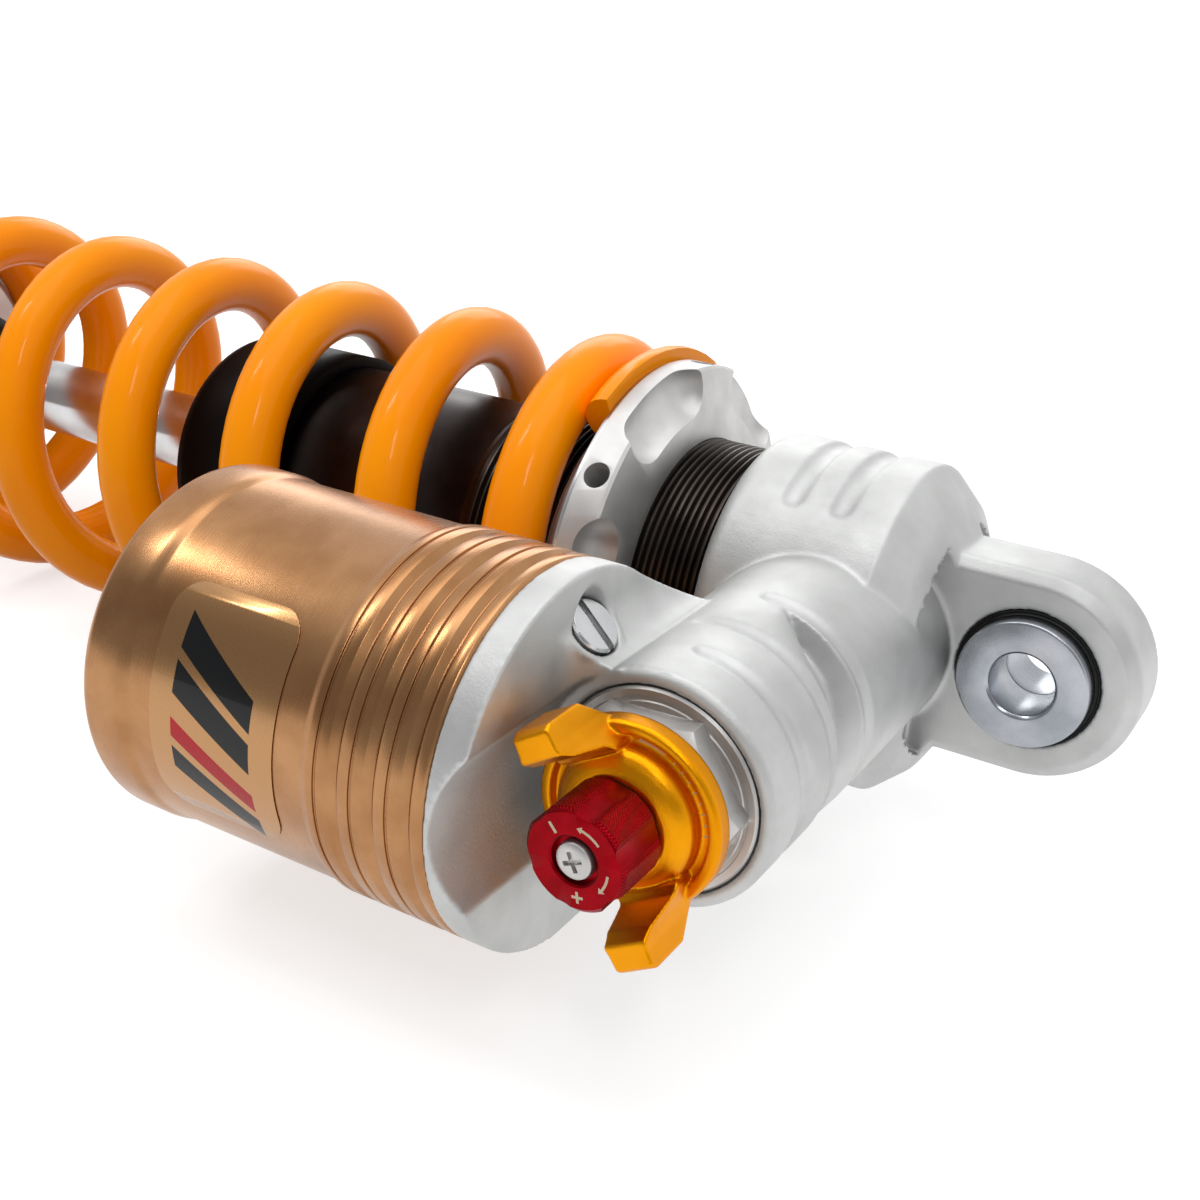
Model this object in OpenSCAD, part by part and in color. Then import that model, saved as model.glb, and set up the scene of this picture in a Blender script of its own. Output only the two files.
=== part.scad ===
// Rear shock absorber of a dirt bike: coil-over damper with a piggyback reservoir.
// The origin is the centre of the upper eye. X runs along the damper, from the lower
// clevis (negative) to the upper eye. Both mounting bolts, the compression adjuster and
// the offset of the reservoir lie along Y. Z points up.

/* [Upper eye] */
// Radius of the mounting bolt hole
bolt_r = 6; // [5:0.5:6.5]
// Outer radius of the steel spacers
spacer_r = 12.1; // [11.6:0.1:12.4]
// How far a spacer stands out of the lug
spacer_out = 3.3; // [2:0.1:6]
// Radius of the bearing bore in the lug
lug_bore_r = 13.2; // [13:0.1:13.8]
// Outer radius of the lug
lug_r = 20; // [18:0.5:22]
// Thickness of the lug
lug_t = 15.3; // [15:0.1:20]
// Chamfer round the lug
lug_chamfer = 2.1; // [1:0.1:3]
// Radius of the spherical bearing
ball_r = 10.5; // [10:0.1:11]
// Half width of the bearing ball
ball_half = 6.2; // [5.8:0.1:6.4]

/* [Head casting] */
// Outer radius of the barrel that clamps the damper body
barrel_r = 32; // [30:0.5:34]
// Distance from the eye to the open rim of the barrel
barrel_x = 57.7; // [55:0.5:66]
// Distance from the eye to the start of the shoulder cone
shoulder_x = 25.3; // [24:0.1:27]
// Radius at the end of the shoulder cone
nose_r = 26.7; // [25:0.1:28]
// Distance from the eye to the end face of the barrel
nose_x = 16; // [15:0.1:17]
// Distance between the finger grooves
groove_step = 9.5; // [8:0.5:11]
// Radius of the compression boss
boss_r = 20.3; // [20:0.1:22]
// Radius of the fillet between boss and reservoir cap
web_fillet = 6; // [4:0.5:7]
// Radius of the bleed plug
plug_r = 5; // [3:0.5:5.5]

/* [Damper body] */
// Outer radius of the threaded part of the body
thread_r = 27.4; // [27:0.1:28]
// Outer radius of the smooth part of the body
body_r = 25.4; // [25:0.1:26.5]
// Bore radius of the body
body_bore_r = 23; // [22:0.1:23.6]
// Length of thread on the body, from the rim of the barrel
thread_len = 54; // [50:1:64]
// Length of the body outside the barrel
body_len = 131; // [128:1:145]
// Outer radius of the black end cap
cap_r = 27.8; // [27:0.1:29]
// Length of the black end cap
cap_len = 30; // [26:1:40]

/* [Reservoir] */
// Distance between the damper axis and the reservoir axis
res_offset = 80.3; // [79:0.1:84]
// Outer radius of the reservoir
res_r = 31.9; // [31:0.1:33]
// Bore radius of the reservoir
res_bore_r = 29.4; // [28.6:0.1:29.6]
// Distance from the eye to the joint between cap and reservoir
res_x = 56; // [55.8:0.1:57]
// Length of the reservoir tube
res_len = 70.2; // [66:0.5:90]
// Thickness of the cap outside the tube
res_cap_t = 5.6; // [5:0.1:6]
// Depth of the turned barrel below the bands
band_step = 0.7; // [0.3:0.1:1]
// Width of the far band
band_w = 9; // [6:0.5:12]
// Distance between the pairs of grooves
rib_step = 6.8; // [6:0.1:7.4]
// Radius of the gas valve
valve_r = 4; // [3:0.5:5]

/* [Compression adjuster] */
// Distance from the eye to the adjuster axis
adj_x = 35; // [35:0.1:35.4]
// Distance from the damper axis to the face of the boss
adj_y = 81.2; // [80:0.1:84]
// Radius of the cartridge flange
flange_r = 17.7; // [17:0.1:18.4]
// Radius of the cartridge shank
shank_r = 15.9; // [15:0.1:16.2]
// Radius over the corners of the hexagon
hex_r = 16; // [15:0.1:16.5]
// Height of the hexagon
hex_h = 4.5; // [3.5:0.1:5]
// Outer radius of the lever disc
lever_r = 15.6; // [14.5:0.1:16]
// Thickness of the lever disc
lever_t = 3.8; // [3:0.1:4.2]
// Radius over the lever's wings
wing_r = 19.5; // [18:0.1:19.6]
// Height of the wings above the disc
wing_h = 12.4; // [9:0.1:13]
// Width of a wing at its tip
wing_w = 6.6; // [5:0.1:8]
// Turn of the wings away from the damper axis
wing_turn = 121; // [100:1:140]
// Radius of the low speed knob
knob_r = 8.4; // [7.5:0.1:8.6]
// Height of the low speed knob
knob_h = 11; // [9:0.5:12]
// Number of flutes round the knob
knob_flutes = 6; // [4:1:8]

/* [Preload collar] */
// How far the spring stands out past the collar's rim
collar_inset = 2.4; // [1:0.1:4]
// Width of the collar at its rim
collar_rim_w = 7; // [6:0.1:9]
// Height of the collar's cone above the rim
collar_cone_h = 2; // [1:0.1:3]
// Gap between collar and barrel
collar_gap = 14.7; // [12.5:0.1:16]
// Number of pockets round the collar
pockets = 6; // [4:1:7]
// Radius of a pocket
pocket_r = 6.2; // [4:0.1:7]
// How far the middle of a pocket lies inside the rim
pocket_in = 2.4; // [0:0.1:3]
// Half the sweep of a pocket
pocket_sweep = 11.5; // [6:0.5:15]
// Radius of the spanner holes
spanner_r = 2.6; // [1:0.1:3]

/* [Spring] */
// Outer radius of the spring
spring_r = 44; // [43.8:0.1:45]
// Radius of the wire
wire_r = 6.25; // [5.8:0.05:6.4]
// Installed length of the spring
spring_len = 234.4; // [229:0.2:250]
// Distance between open coils
spring_pitch = 35.9; // [32:0.1:40]
// Gap between the first turn and the second at each end
closed_gap = 0.55; // [0.5:0.05:1]

/* [Rod and piston] */
// Radius of the damper rod
rod_r = 9; // [8:0.1:9.5]
// Radius of the metering rod
needle_r = 1.5; // [1:0.5:3]
// Height of the main piston
piston_h = 12; // [10:0.5:14]
// Height of the top-out spacer
topout_h = 16; // [10:1:20]
// Radius of the bump stop
bump_r = 17; // [14:0.5:20]
// Height of the bump stop
bump_h = 20; // [16:1:22]
// Height of the lower seat's hub inside the spring
seat_hub_h = 10; // [7:0.5:12]
// Thickness of the lower seat's flange
seat_flange_t = 7; // [6:0.5:10]

/* [Lower clevis] */
// Distance from the lower seat to the lower bolt
clevis_len = 62; // [60:1:90]
// Radius of the lower bolt hole
lower_bolt_r = 5; // [4:0.5:6]
// Radius of the fork's ears
ear_r = 15; // [13:0.5:17]
// Thickness of one ear
ear_t = 9; // [7:0.5:12]
// Gap between the ears
fork_gap = 18; // [14:0.5:26]
// Depth of the gap behind the bolt
fork_depth = 19; // [16:0.5:22]
// Radius of the neck inside the lower seat
neck_r = 14; // [13:0.5:15]
// Radius of the rebound dial
dial_r = 9; // [6:0.5:10]

/* [Clearances] */
// Radial clearance of a running fit
run_gap = 0.05; // [0.02:0.01:0.1]
// Clearance of a fixed fit
fit_gap = 0.03; // [0.01:0.01:0.05]
// Gap left beside pieces that move
move_gap = 0.3; // [0.2:0.05:0.5]

/* [Hidden] */

$fn = 96;
skip = 0.01;          // overshoot of a cut past the face that it opens
seam = 0.05;          // a groove's round end is this much slimmer than the groove
far = 200;            // longer than any piece that a cut passes through

// Upper eye
spacer_half = lug_t / 2 + spacer_out;
clip_t = 1;
clip_y = 4.6;
clip_depth = 0.7;
race_half = clip_y - run_gap;
seal_y = ball_half;
spigot_r = ball_r - 2.5;
bolt_chamfer = 0.55;

// Head casting
rim_round = 4;
dish_r = 22.5;
dish_x = 20.6;
cone_x = 19.4;
finger_depth = 1;
finger_r = 3.4;
finger_x = 35.1;
finger_from = 60;
finger_to = 122;
boss_chamfer = 1.1;
boss_grooves = [10.7, 21.8, 35.6];   // from the face of the boss
boss_groove_from = [-90, -90, -90];
boss_groove_to = [88, 104, 90];
boss_groove_r = 2.2;
boss_groove_depth = 0.8;
cap_chamfer = 1.2;
socket_x = 30;        // the body tube ends here
chamber_x = 25;       // floor of the oil chamber above the tube
port_r = 4;
web_low = 4.2;        // half height of the web where it enters the barrel
web_in = 26;
face_x = res_x - res_cap_t;
pocket_clear = 0.7;
spigot_len = 9;
spigot_t = 3;
plug_tilt = 45;
plug_at = [-49.2, -77.3, 23];
plug_pad = 1.3;
plug_len = 7;
slot_w = 1.6;
slot_deep = 1.2;

// Damper body
body_far = barrel_x + body_len;
wall_t = 2;
cap_wall = 3;
cap_round = 4;
seal_head_len = 24;
seal_head_x = body_far - seal_head_len;
bush_len = 12;
bush_t = 1.5;
seal_len = 6;
seal_t = 5;
wiper_t = 4;
wiper_len = 5;

// Reservoir
res_far = res_x + res_len;
res_round = min(2, 0.8 * (res_r - res_bore_r));
end_cap_t = 6;
end_cap_deep = 2.4;
res_clip_t = 1.2;
v_deep = 1.1;
v_half = 1.1;
line_deep = 0.35;
line_half = 0.35;
label_from = 132;
label_sweep = 75;
label_w = 25.8;
label_x = 110.8;
label_t = 0.15;
float_h = 14;
float_x = 92;
float_ring_w = 3;
float_ring_t = 1.2;
valve_len = 8;

// Compression adjuster
shank_end = 33;
flange_t = 2;
tube_r = 6;
tube_len = 23;
stem_r = 3;
stem_end = 72;
low_needle_tip = 41;
cavity_r = 13;
valve_h = 8;
valve_floor = shank_end + 3;
valve_top = valve_floor + valve_h;
valve_port_x = 8;
cavity_top = 60;
washer_t = 0.3;
washer_r = lever_r - 0.8;
lever_back = adj_y + hex_h + washer_t + 2 * run_gap;
lever_face = lever_back + lever_t;
ring_r = 11.3;
ring_in_r = 8.9;
ring_h = 2.8;
groove_in_r = ring_r;
groove_out_r = 13.4;
groove_deep = 1.6;
wing_in_r = 12.6;
wing_root_w = 11;
knob_face = 104.5;
knob_back = knob_face - knob_h;
flute_deep = 0.9;
flute_r = 5;
screw_r = 3.1;
screw_head_h = 1.8;
screw_sink = 1.4;
oring_r = 0.9;
oring_y = 74;

// Preload collar
collar_top = barrel_x + collar_gap;
rim_top = collar_top + collar_cone_h;
rim_bottom = rim_top + collar_rim_w;
collar_spigot = 9;
washer_thick = 1.2;
spring_top = rim_bottom + washer_thick;
spring_bottom = spring_top + spring_len;
spring_in_r = spring_r - 2 * wire_r;
collar_r = spring_r - collar_inset;
spigot_gap = 0.6;
pocket_first = 108;
pocket_axis_r = collar_r - pocket_in;
lock_screw_r = 2.5;

// Rod and seat
piston_x = seal_head_x - topout_h;
piston_top = piston_x - piston_h;
rod_shoulder = 6;
band_t = 0.8;
shim_t = 0.3;
shim_gap = 0.05;
nut_h = 7;
hub_wall = 3;
seat_face = spring_bottom - seat_hub_h;
seat_back = spring_bottom + seat_flange_t;
seat_inset = 0.6;
rod_in_clevis = 20;
rod_end = seat_back + rod_in_clevis;

// Clevis
collar_back = seat_back + 8;
shoulder_r = 21;
ear_x = seat_back + clevis_len;
fork_half = fork_gap / 2 + ear_t;
block_x = ear_x - fork_depth - 14;
dial_x = block_x + 2;
dial_t = 4;
dial_stem_r = 3;
dial_stem_len = 20;

// Turns a profile of [radius, x] points about the damper axis
module rev_x(y = 0) {
  translate([0, -y, 0]) rotate([0, 90, 0]) rotate_extrude() children();
}

// Turns a profile of [radius, y] points about a bolt axis at x
module rev_y(x = 0) {
  translate([-x, 0, 0]) rotate([-90, 0, 0]) rotate_extrude() children();
}

// Profile of a plain ring: radii r0 to r1, from a to b along the axis
module band(r0, r1, a, b) {
  polygon([[r0, a], [r1, a], [r1, b], [r0, b]]);
}

// Upper lug: flat cheeks, round end and a chamfer along both edges
module lug_solid() {
  half = lug_t / 2;
  in_r = lug_r - lug_chamfer;
  in_h = half - lug_chamfer;
  rev_y() polygon([[0, -half], [in_r, -half], [lug_r, -in_h], [lug_r, in_h], [in_r, half], [0, half]]);
  translate([-dish_x - 3, 0, 0]) rotate([90, 0, 90]) linear_extrude(dish_x + 3)
    polygon([
      [-half, -in_r], [-in_h, -lug_r], [in_h, -lug_r], [half, -in_r],
      [half, in_r], [in_h, lug_r], [-in_h, lug_r], [-half, in_r]
    ]);
}

// Barrel with a rolled rim and a shoulder cone, dished beside the lug
module barrel_solid() {
  difference() {
    rev_x() union() {
      polygon([
        [0, -barrel_x], [barrel_r - rim_round, -barrel_x], [barrel_r, -barrel_x + rim_round],
        [barrel_r, -shoulder_x], [nose_r, -cone_x], [lug_r, -nose_x + 0.4], [0, -nose_x + 0.4]
      ]);
      intersection() {
        translate([barrel_r - rim_round, -barrel_x + rim_round]) circle(rim_round);
        band(0, barrel_r, -barrel_x, -barrel_x + rim_round);
      }
    }
    for (side = [-1, 1])
      intersection() {
        rev_x() band(0, dish_r, -dish_x, 0);
        translate([-dish_x, side > 0 ? lug_t / 2 : -lug_t / 2 - far, -far / 2])
          cube([dish_x, far, far]);
      }
    for (i = [0, 1]) finger_groove(finger_x + i * groove_step);
  }
}

// Shallow groove with round ends across the top of the barrel
module finger_groove(x) {
  path_r = barrel_r - finger_depth + finger_r;
  translate([-x, 0, 0]) rotate([0, 90, 0]) rotate([0, 0, 90 + finger_from])
    rotate_extrude(angle = finger_to - finger_from) translate([path_r, 0]) circle(finger_r, $fn = 32);
  for (a = [finger_from, finger_to])
    translate([-x, path_r * cos(a), path_r * sin(a)]) sphere(finger_r - seam, $fn = 32);
}

// Front view of the boss, the cap's edge and the fillets between them
module web_profile() {
  fx = face_x - web_fillet;
  fz = sqrt(pow(boss_r + web_fillet, 2) - pow(fx - adj_x, 2));
  translate([-adj_x, 0]) circle(boss_r);
  translate([-res_x, -res_r]) square([res_cap_t, 2 * res_r]);
  difference() {
    polygon([[-face_x, fz], [-fx, fz], [-adj_x, 0], [-fx, -fz], [-face_x, -fz]]);
    for (s = [-1, 1]) translate([-fx, s * fz]) circle(web_fillet);
  }
}

// Top view of the same block: cap face, front fillet and boss face
module web_plan() {
  translate([-res_x, -res_offset - res_r]) square([res_cap_t, res_offset + res_r]);
  translate([-face_x, -adj_y]) square([face_x - adj_x + boss_r, adj_y]);
  difference() {
    translate([-face_x, -adj_y - web_fillet]) square(web_fillet);
    translate([-face_x + web_fillet, -adj_y - web_fillet]) circle(web_fillet);
  }
}

// Side view: reservoir cap with the web that narrows towards the barrel
module cap_profile() {
  lean = atan2(res_offset - web_in, res_r - web_low);
  ty = res_r * cos(lean);
  tz = res_r * sin(lean);
  translate([-res_offset, 0]) circle(res_r);
  polygon([
    [-res_offset + ty, tz], [-web_in, web_low], [-web_in, -web_low], [-res_offset + ty, -tz]
  ]);
}

// Boss, web and reservoir cap in one block
module web_solid() {
  intersection() {
    rotate([90, 0, 0]) linear_extrude(res_offset + res_r) web_profile();
    translate([0, 0, -far / 2]) linear_extrude(far) web_plan();
    union() {
      translate([-res_x, 0, 0]) rotate([90, 0, 90]) linear_extrude(res_cap_t + web_fillet) cap_profile();
      rev_y(adj_x) band(0, boss_r, -adj_y, 0);
    }
  }
}

// Shallow groove round the outer side of the boss
module boss_groove(i) {
  path_r = boss_r - boss_groove_depth + boss_groove_r;
  sweep = boss_groove_to[i] - boss_groove_from[i];
  translate([-adj_x, -adj_y + boss_grooves[i], 0]) rotate([-90, 0, 0])
    rotate([0, 0, -boss_groove_to[i]]) {
      rotate_extrude(angle = sweep) translate([path_r, 0]) circle(boss_groove_r, $fn = 32);
      translate([path_r, 0, 0]) sphere(boss_groove_r - seam, $fn = 32);
    }
}

// Places a piece on the axis of the bleed plug
module at_plug() {
  translate(plug_at) rotate([0, plug_tilt, 0]) children();
}

module head() {
  color("gainsboro") difference() {
    union() {
      lug_solid();
      barrel_solid();
      web_solid();
      rev_x(res_offset) band(0, res_bore_r - fit_gap, -res_x - spigot_len, -res_x);
      at_plug() translate([0, 0, -plug_len]) cylinder(r = plug_r + plug_pad, h = plug_len - slot_deep / 2);
    }
    for (i = [0:len(boss_grooves) - 1]) boss_groove(i);
    // bearing bore with the grooves of its two clips
    rev_y() {
      band(0, lug_bore_r, -lug_t / 2 - skip, lug_t / 2 + skip);
      for (s = [-1, 1]) translate([0, s * (clip_y + clip_t / 2)])
        band(0, lug_bore_r + clip_depth + run_gap, -clip_t / 2 - run_gap, clip_t / 2 + run_gap);
    }
    // socket of the damper body and the oil chamber above it
    rev_x() {
      band(0, thread_r + fit_gap, -barrel_x - skip, -socket_x);
      band(0, body_bore_r, -socket_x - skip, -chamber_x);
    }
    // bore of the compression cartridge
    rev_y(adj_x) {
      band(0, flange_r + run_gap, -adj_y - skip, -adj_y + flange_t);
      band(0, shank_r + fit_gap, -adj_y, -shank_end + 1);
    }
    // room for the lever to turn in front of the reservoir cap
    rev_y(adj_x) band(0, wing_r + pocket_clear, -res_offset - res_r - skip, -adj_y);
    // oil ports to the damper body and to the reservoir
    translate([-socket_x + 1, 0, 0]) rotate([90, 0, 0]) cylinder(r = port_r, h = shank_end + 3);
    translate([-res_x - spigot_len - skip, -res_offset + 14, 0]) rotate([0, 90, 0])
      cylinder(r = port_r, h = spigot_len + 10);
    rev_x(res_offset) band(0, res_bore_r - spigot_t, -res_x - spigot_len - skip, -res_x);
    at_plug() translate([0, 0, -plug_len]) cylinder(r = plug_r + fit_gap, h = far / 10);
    // chamfer round the face of the boss
    difference() {
      rev_y(adj_x) polygon([
        [boss_r - boss_chamfer, -adj_y - skip], [boss_r + 1, -adj_y - skip],
        [boss_r + 1, -adj_y + boss_chamfer], [boss_r, -adj_y + boss_chamfer]
      ]);
      translate([-face_x - far, -far / 2, -far / 2]) cube([far + web_fillet + 2, far, far]);
    }
  }
}

module body_tube() {
  color("dimgray") rev_x() polygon([
    [body_bore_r, -socket_x], [thread_r, -socket_x],
    [thread_r, -barrel_x - thread_len], [body_r, -barrel_x - thread_len - wall_t],
    [body_r, -body_far], [body_bore_r, -body_far]
  ]);
}

module body_end_cap() {
  tail = body_far + cap_wall;
  color("black") rev_x() difference() {
    union() {
      band(0, cap_r, -tail + cap_round, -tail + cap_len);
      band(0, cap_r - cap_round, -tail, -tail + cap_round);
      translate([cap_r - cap_round, -tail + cap_round]) intersection() {
        circle(cap_round);
        translate([0, -cap_round]) square(cap_round);
      }
    }
    translate([-far, -body_far - fit_gap]) square([far + body_r + fit_gap, far]);
    translate([-far, -tail - skip]) square([far + rod_r + wiper_t + fit_gap, far]);
  }
}

module seal_head() {
  color("silver") rev_x() polygon([
    [rod_r + bush_t + fit_gap, -seal_head_x], [body_bore_r - fit_gap, -seal_head_x],
    [body_bore_r - fit_gap, -body_far], [rod_r + seal_t + fit_gap, -body_far],
    [rod_r + seal_t + fit_gap, -seal_head_x - bush_len - 1],
    [rod_r + bush_t + fit_gap, -seal_head_x - bush_len - 1]
  ]);
}

module rod_bush() {
  color("darkgoldenrod") rev_x()
    band(rod_r + run_gap, rod_r + bush_t, -seal_head_x - bush_len, -seal_head_x);
}

module oil_seal() {
  front = seal_head_x + bush_len + 1 + fit_gap;
  color("black") rev_x() band(rod_r + run_gap, rod_r + seal_t, -front - seal_len, -front);
}

module dust_wiper() {
  front = body_far + cap_wall - wiper_len;
  color("black") rev_x() polygon([
    [rod_r + run_gap, -front], [rod_r + wiper_t, -front],
    [rod_r + wiper_t, -front - wiper_len], [rod_r + run_gap, -front - wiper_len - 1]
  ]);
}

// Outer line of the reservoir: far band, turned barrel and three pairs of grooves
module reservoir_tube() {
  barrel = res_r - band_step;
  ribs_x = res_x + 3.3;
  first = ribs_x + 2 * rib_step + 3.3;
  color("peru") rev_x(res_offset) difference() {
    union() {
      band(res_bore_r, res_r, -res_far + res_round, -res_far + band_w);
      band(res_bore_r, res_r - res_round, -res_far, -res_far + res_round);
      intersection() {
        translate([res_r - res_round, -res_far + res_round]) circle(res_round);
        band(res_bore_r, res_r, -res_far, -res_far + res_round);
      }
      polygon([
        [res_bore_r, -res_far + band_w], [res_r, -res_far + band_w],
        [barrel, -res_far + band_w + 1], [barrel, -first - 2], [res_r, -first - 1],
        [res_r, -res_x], [res_bore_r, -res_x]
      ]);
    }
    for (i = [0:2]) {
      x = -ribs_x - i * rib_step;
      polygon([[res_r + skip, x - v_half], [res_r + skip, x + v_half], [res_r - v_deep, x]]);
      translate([res_r - line_deep, x - rib_step / 2 - line_half]) square([1, 2 * line_half]);
    }
    // groove of the clip that holds the end cap
    translate([0, -res_far + end_cap_deep - res_clip_t - run_gap])
      square([res_bore_r + 0.8, res_clip_t + run_gap]);
  }
}

module reservoir_end_cap() {
  top = res_far - end_cap_deep;
  color("peru") rev_x(res_offset) difference() {
    band(0, res_bore_r - fit_gap, -top, -top + end_cap_t);
    band(8, res_bore_r - 6, -top - skip, -top + 1.5);
    band(0, valve_r + fit_gap, -far, far);
  }
}

module reservoir_clip() {
  top = res_far - end_cap_deep;
  color("dimgray") rev_x(res_offset)
    band(res_bore_r - 1.6, res_bore_r + 0.7, -top - res_clip_t, -top - run_gap);
}

module gas_valve() {
  top = res_far - end_cap_deep;
  color("goldenrod") rev_x(res_offset) {
    band(0, valve_r, -top + run_gap, -top + end_cap_t);
    band(0, valve_r + 2.4, -top - 1.4, -top - run_gap);
    band(0, valve_r - 1, -top - 1.6, -top + 0.2);
  }
}

module gas_valve_cap() {
  top = res_far - end_cap_deep + 1.6 + run_gap;
  color("black") rev_x(res_offset) band(0, valve_r - 0.5, -top - 0.7, -top);
}

module reservoir_label() {
  r = res_r - band_step + fit_gap;
  color("lightgray") translate([-label_x, -res_offset, 0]) rotate([90, 0, 90])
    rotate([0, 0, label_from]) rotate_extrude(angle = label_sweep)
      translate([r, 0]) square([label_t, label_w]);
}

module bleed_plug() {
  color("silver") at_plug() difference() {
    translate([0, 0, fit_gap - plug_len]) cylinder(r = plug_r, h = plug_len);
    translate([-far / 2, -slot_w / 2, -slot_deep]) cube([far, slot_w, far]);
  }
}

// Cartridge of the compression adjuster, with its hexagon outside the boss
module adjuster_body() {
  color("silver") difference() {
    union() {
      rev_y(adj_x) difference() {
        union() {
          band(0, shank_r, -adj_y + flange_t / 2, -shank_end);
          band(0, flange_r, -adj_y, -adj_y + flange_t - fit_gap);
        }
        band(0, cavity_r, -cavity_top, -shank_end + 1);
        translate([shank_r - 2 * oring_r - run_gap, -oring_y - oring_r - run_gap])
          square([3 * oring_r, 2 * (oring_r + run_gap)]);
      }
      intersection() {
        translate([-adj_x, -adj_y + 0.5, 0]) rotate([90, 0, 0]) rotate([0, 0, 3])
          cylinder(r = hex_r, h = hex_h + 0.5, $fn = 6);
        rev_y(adj_x) polygon([
          [0, -adj_y + 1], [hex_r + 1, -adj_y + 1], [hex_r + 1, -adj_y - hex_h + 2.6],
          [hex_r - 1.6, -adj_y - hex_h], [0, -adj_y - hex_h]
        ]);
      }
    }
    rev_y(adj_x) band(0, tube_r + run_gap, -adj_y - hex_h - 1, -cavity_top + skip);
    // oil way from the cavity towards the reservoir
    translate([-adj_x, -res_offset + 14, 0]) rotate([0, -90, 0]) cylinder(r = port_r, h = far / 4);
  }
}

module adjuster_oring() {
  color("black") rev_y(adj_x) translate([shank_r - oring_r, -oring_y]) circle(oring_r, $fn = 32);
}

module adjuster_washer() {
  top = adj_y + hex_h + run_gap;
  color("saddlebrown") rev_y(adj_x) band(tube_r + move_gap, washer_r, -top - washer_t, -top);
}

module compression_piston() {
  color("silver") difference() {
    rev_y(adj_x) band(stem_r, cavity_r - fit_gap, -valve_top, -valve_floor);
    for (a = [0:60:359]) translate([-adj_x + valve_port_x * cos(a), -shank_end, valve_port_x * sin(a)])
      rotate([90, 0, 0]) cylinder(r = 2, h = 2 * valve_h, $fn = 32);
  }
}

module compression_shims() {
  step = shim_t + shim_gap;
  color("lightsteelblue") for (i = [0:3])
    rev_y(adj_x) band(stem_r, cavity_r - 1.5 - 1.8 * i,
      -valve_top - (i + 1) * step, -valve_top - shim_gap - i * step);
}

module eye_race() {
  color("silver") rev_y() difference() {
    band(0, lug_bore_r - fit_gap, -race_half, race_half);
    circle(ball_r + run_gap);
  }
}

module eye_clips() {
  color("dimgray") for (s = [-1, 1])
    rev_y() translate([0, s * (clip_y + clip_t / 2) - clip_t / 2])
      band(lug_bore_r - 1.7, lug_bore_r + clip_depth, 0, clip_t);
}

module eye_seals() {
  color("black") for (s = [-1, 1])
    rev_y() translate([spacer_r + run_gap, s > 0 ? seal_y : -lug_t / 2 + run_gap])
      square([lug_bore_r - fit_gap - spacer_r - run_gap, lug_t / 2 - seal_y - run_gap]);
}

module eye_ball() {
  color("lightgray") rev_y() difference() {
    intersection() {
      circle(ball_r);
      band(0, far, -ball_half, ball_half);
    }
    square([2 * spigot_r, far], center = true);
  }
}

// Two top-hat spacers that meet inside the ball
module eye_spacers() {
  color("lightsteelblue") for (s = [-1, 1]) scale([1, s, 1]) rev_y() polygon([
    [bolt_r, 0.1], [spigot_r - fit_gap, 0.1], [spigot_r - fit_gap, ball_half],
    [spacer_r, ball_half], [spacer_r, spacer_half - 0.5], [spacer_r - 0.5, spacer_half],
    [bolt_r + bolt_chamfer, spacer_half], [bolt_r, spacer_half - bolt_chamfer]
  ]);
}

module thrust_washer() {
  color("gainsboro") rev_x()
    band(spring_in_r + 0.2, collar_r - 0.6, -rim_bottom - washer_thick, -rim_bottom);
}

// Distance travelled by the coil after a turn of a degrees
closed_sweep = 230;   // the wire runs flat for this angle from its tip
ramp_sweep = 300;     // and then reaches the open pitch over this one
ground = -0.2;        // the wire's centre at its tip lies this far inside the ground end
run_in = pow(360 - closed_sweep, 2) / (720 * ramp_sweep);
closed_pitch = (2 * wire_r + closed_gap - run_in * spring_pitch) / (1 - run_in);
coil_travel = spring_len - 2 * ground;
end_travel = closed_sweep * closed_pitch / 360 + ramp_sweep * (closed_pitch + spring_pitch) / 720;
open_sweep = (coil_travel - 2 * end_travel) / spring_pitch * 360;
coil_sweep = open_sweep + 2 * (closed_sweep + ramp_sweep);
function half_travel(a) =
  a < closed_sweep ? a * closed_pitch / 360
  : a < closed_sweep + ramp_sweep ?
      closed_sweep * closed_pitch / 360 + (a - closed_sweep) * closed_pitch / 360
      + pow(a - closed_sweep, 2) * (spring_pitch - closed_pitch) / (720 * ramp_sweep)
  : end_travel + (a - closed_sweep - ramp_sweep) * spring_pitch / 360;
function travel(a) = a < coil_sweep / 2 ? half_travel(a) : coil_travel - half_travel(coil_sweep - a);
coil_r = spring_r - wire_r;
tip_angle = 118;
rings_per_turn = 24;
wire_sides = 6;
ring_count = ceil(coil_sweep / 360 * rings_per_turn);
function wire_centre(i) =
  let (a = coil_sweep * i / ring_count, t = tip_angle - a)
  [-spring_top - ground - travel(a), coil_r * cos(t), coil_r * sin(t)];
function wire_point(i, k) =
  let (t = tip_angle - coil_sweep * i / ring_count, b = 360 * k / wire_sides, c = wire_centre(i))
  c + [wire_r * sin(b), wire_r * cos(b) * cos(t), wire_r * cos(b) * sin(t)];
wire_points = [
  for (i = [0:ring_count]) for (k = [0:wire_sides - 1]) wire_point(i, k)
];
wire_faces = concat(
  [for (i = [0:ring_count - 1]) for (k = [0:wire_sides - 1])
    [i * wire_sides + k, i * wire_sides + (k + 1) % wire_sides, (i + 1) * wire_sides + k]],
  [for (i = [0:ring_count - 1]) for (k = [0:wire_sides - 1])
    [(i + 1) * wire_sides + k, i * wire_sides + (k + 1) % wire_sides,
     (i + 1) * wire_sides + (k + 1) % wire_sides]],
  [for (k = [1:wire_sides - 2]) [0, k + 1, k]],
  [for (k = [1:wire_sides - 2])
    [ring_count * wire_sides, ring_count * wire_sides + k, ring_count * wire_sides + k + 1]]
);

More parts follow.
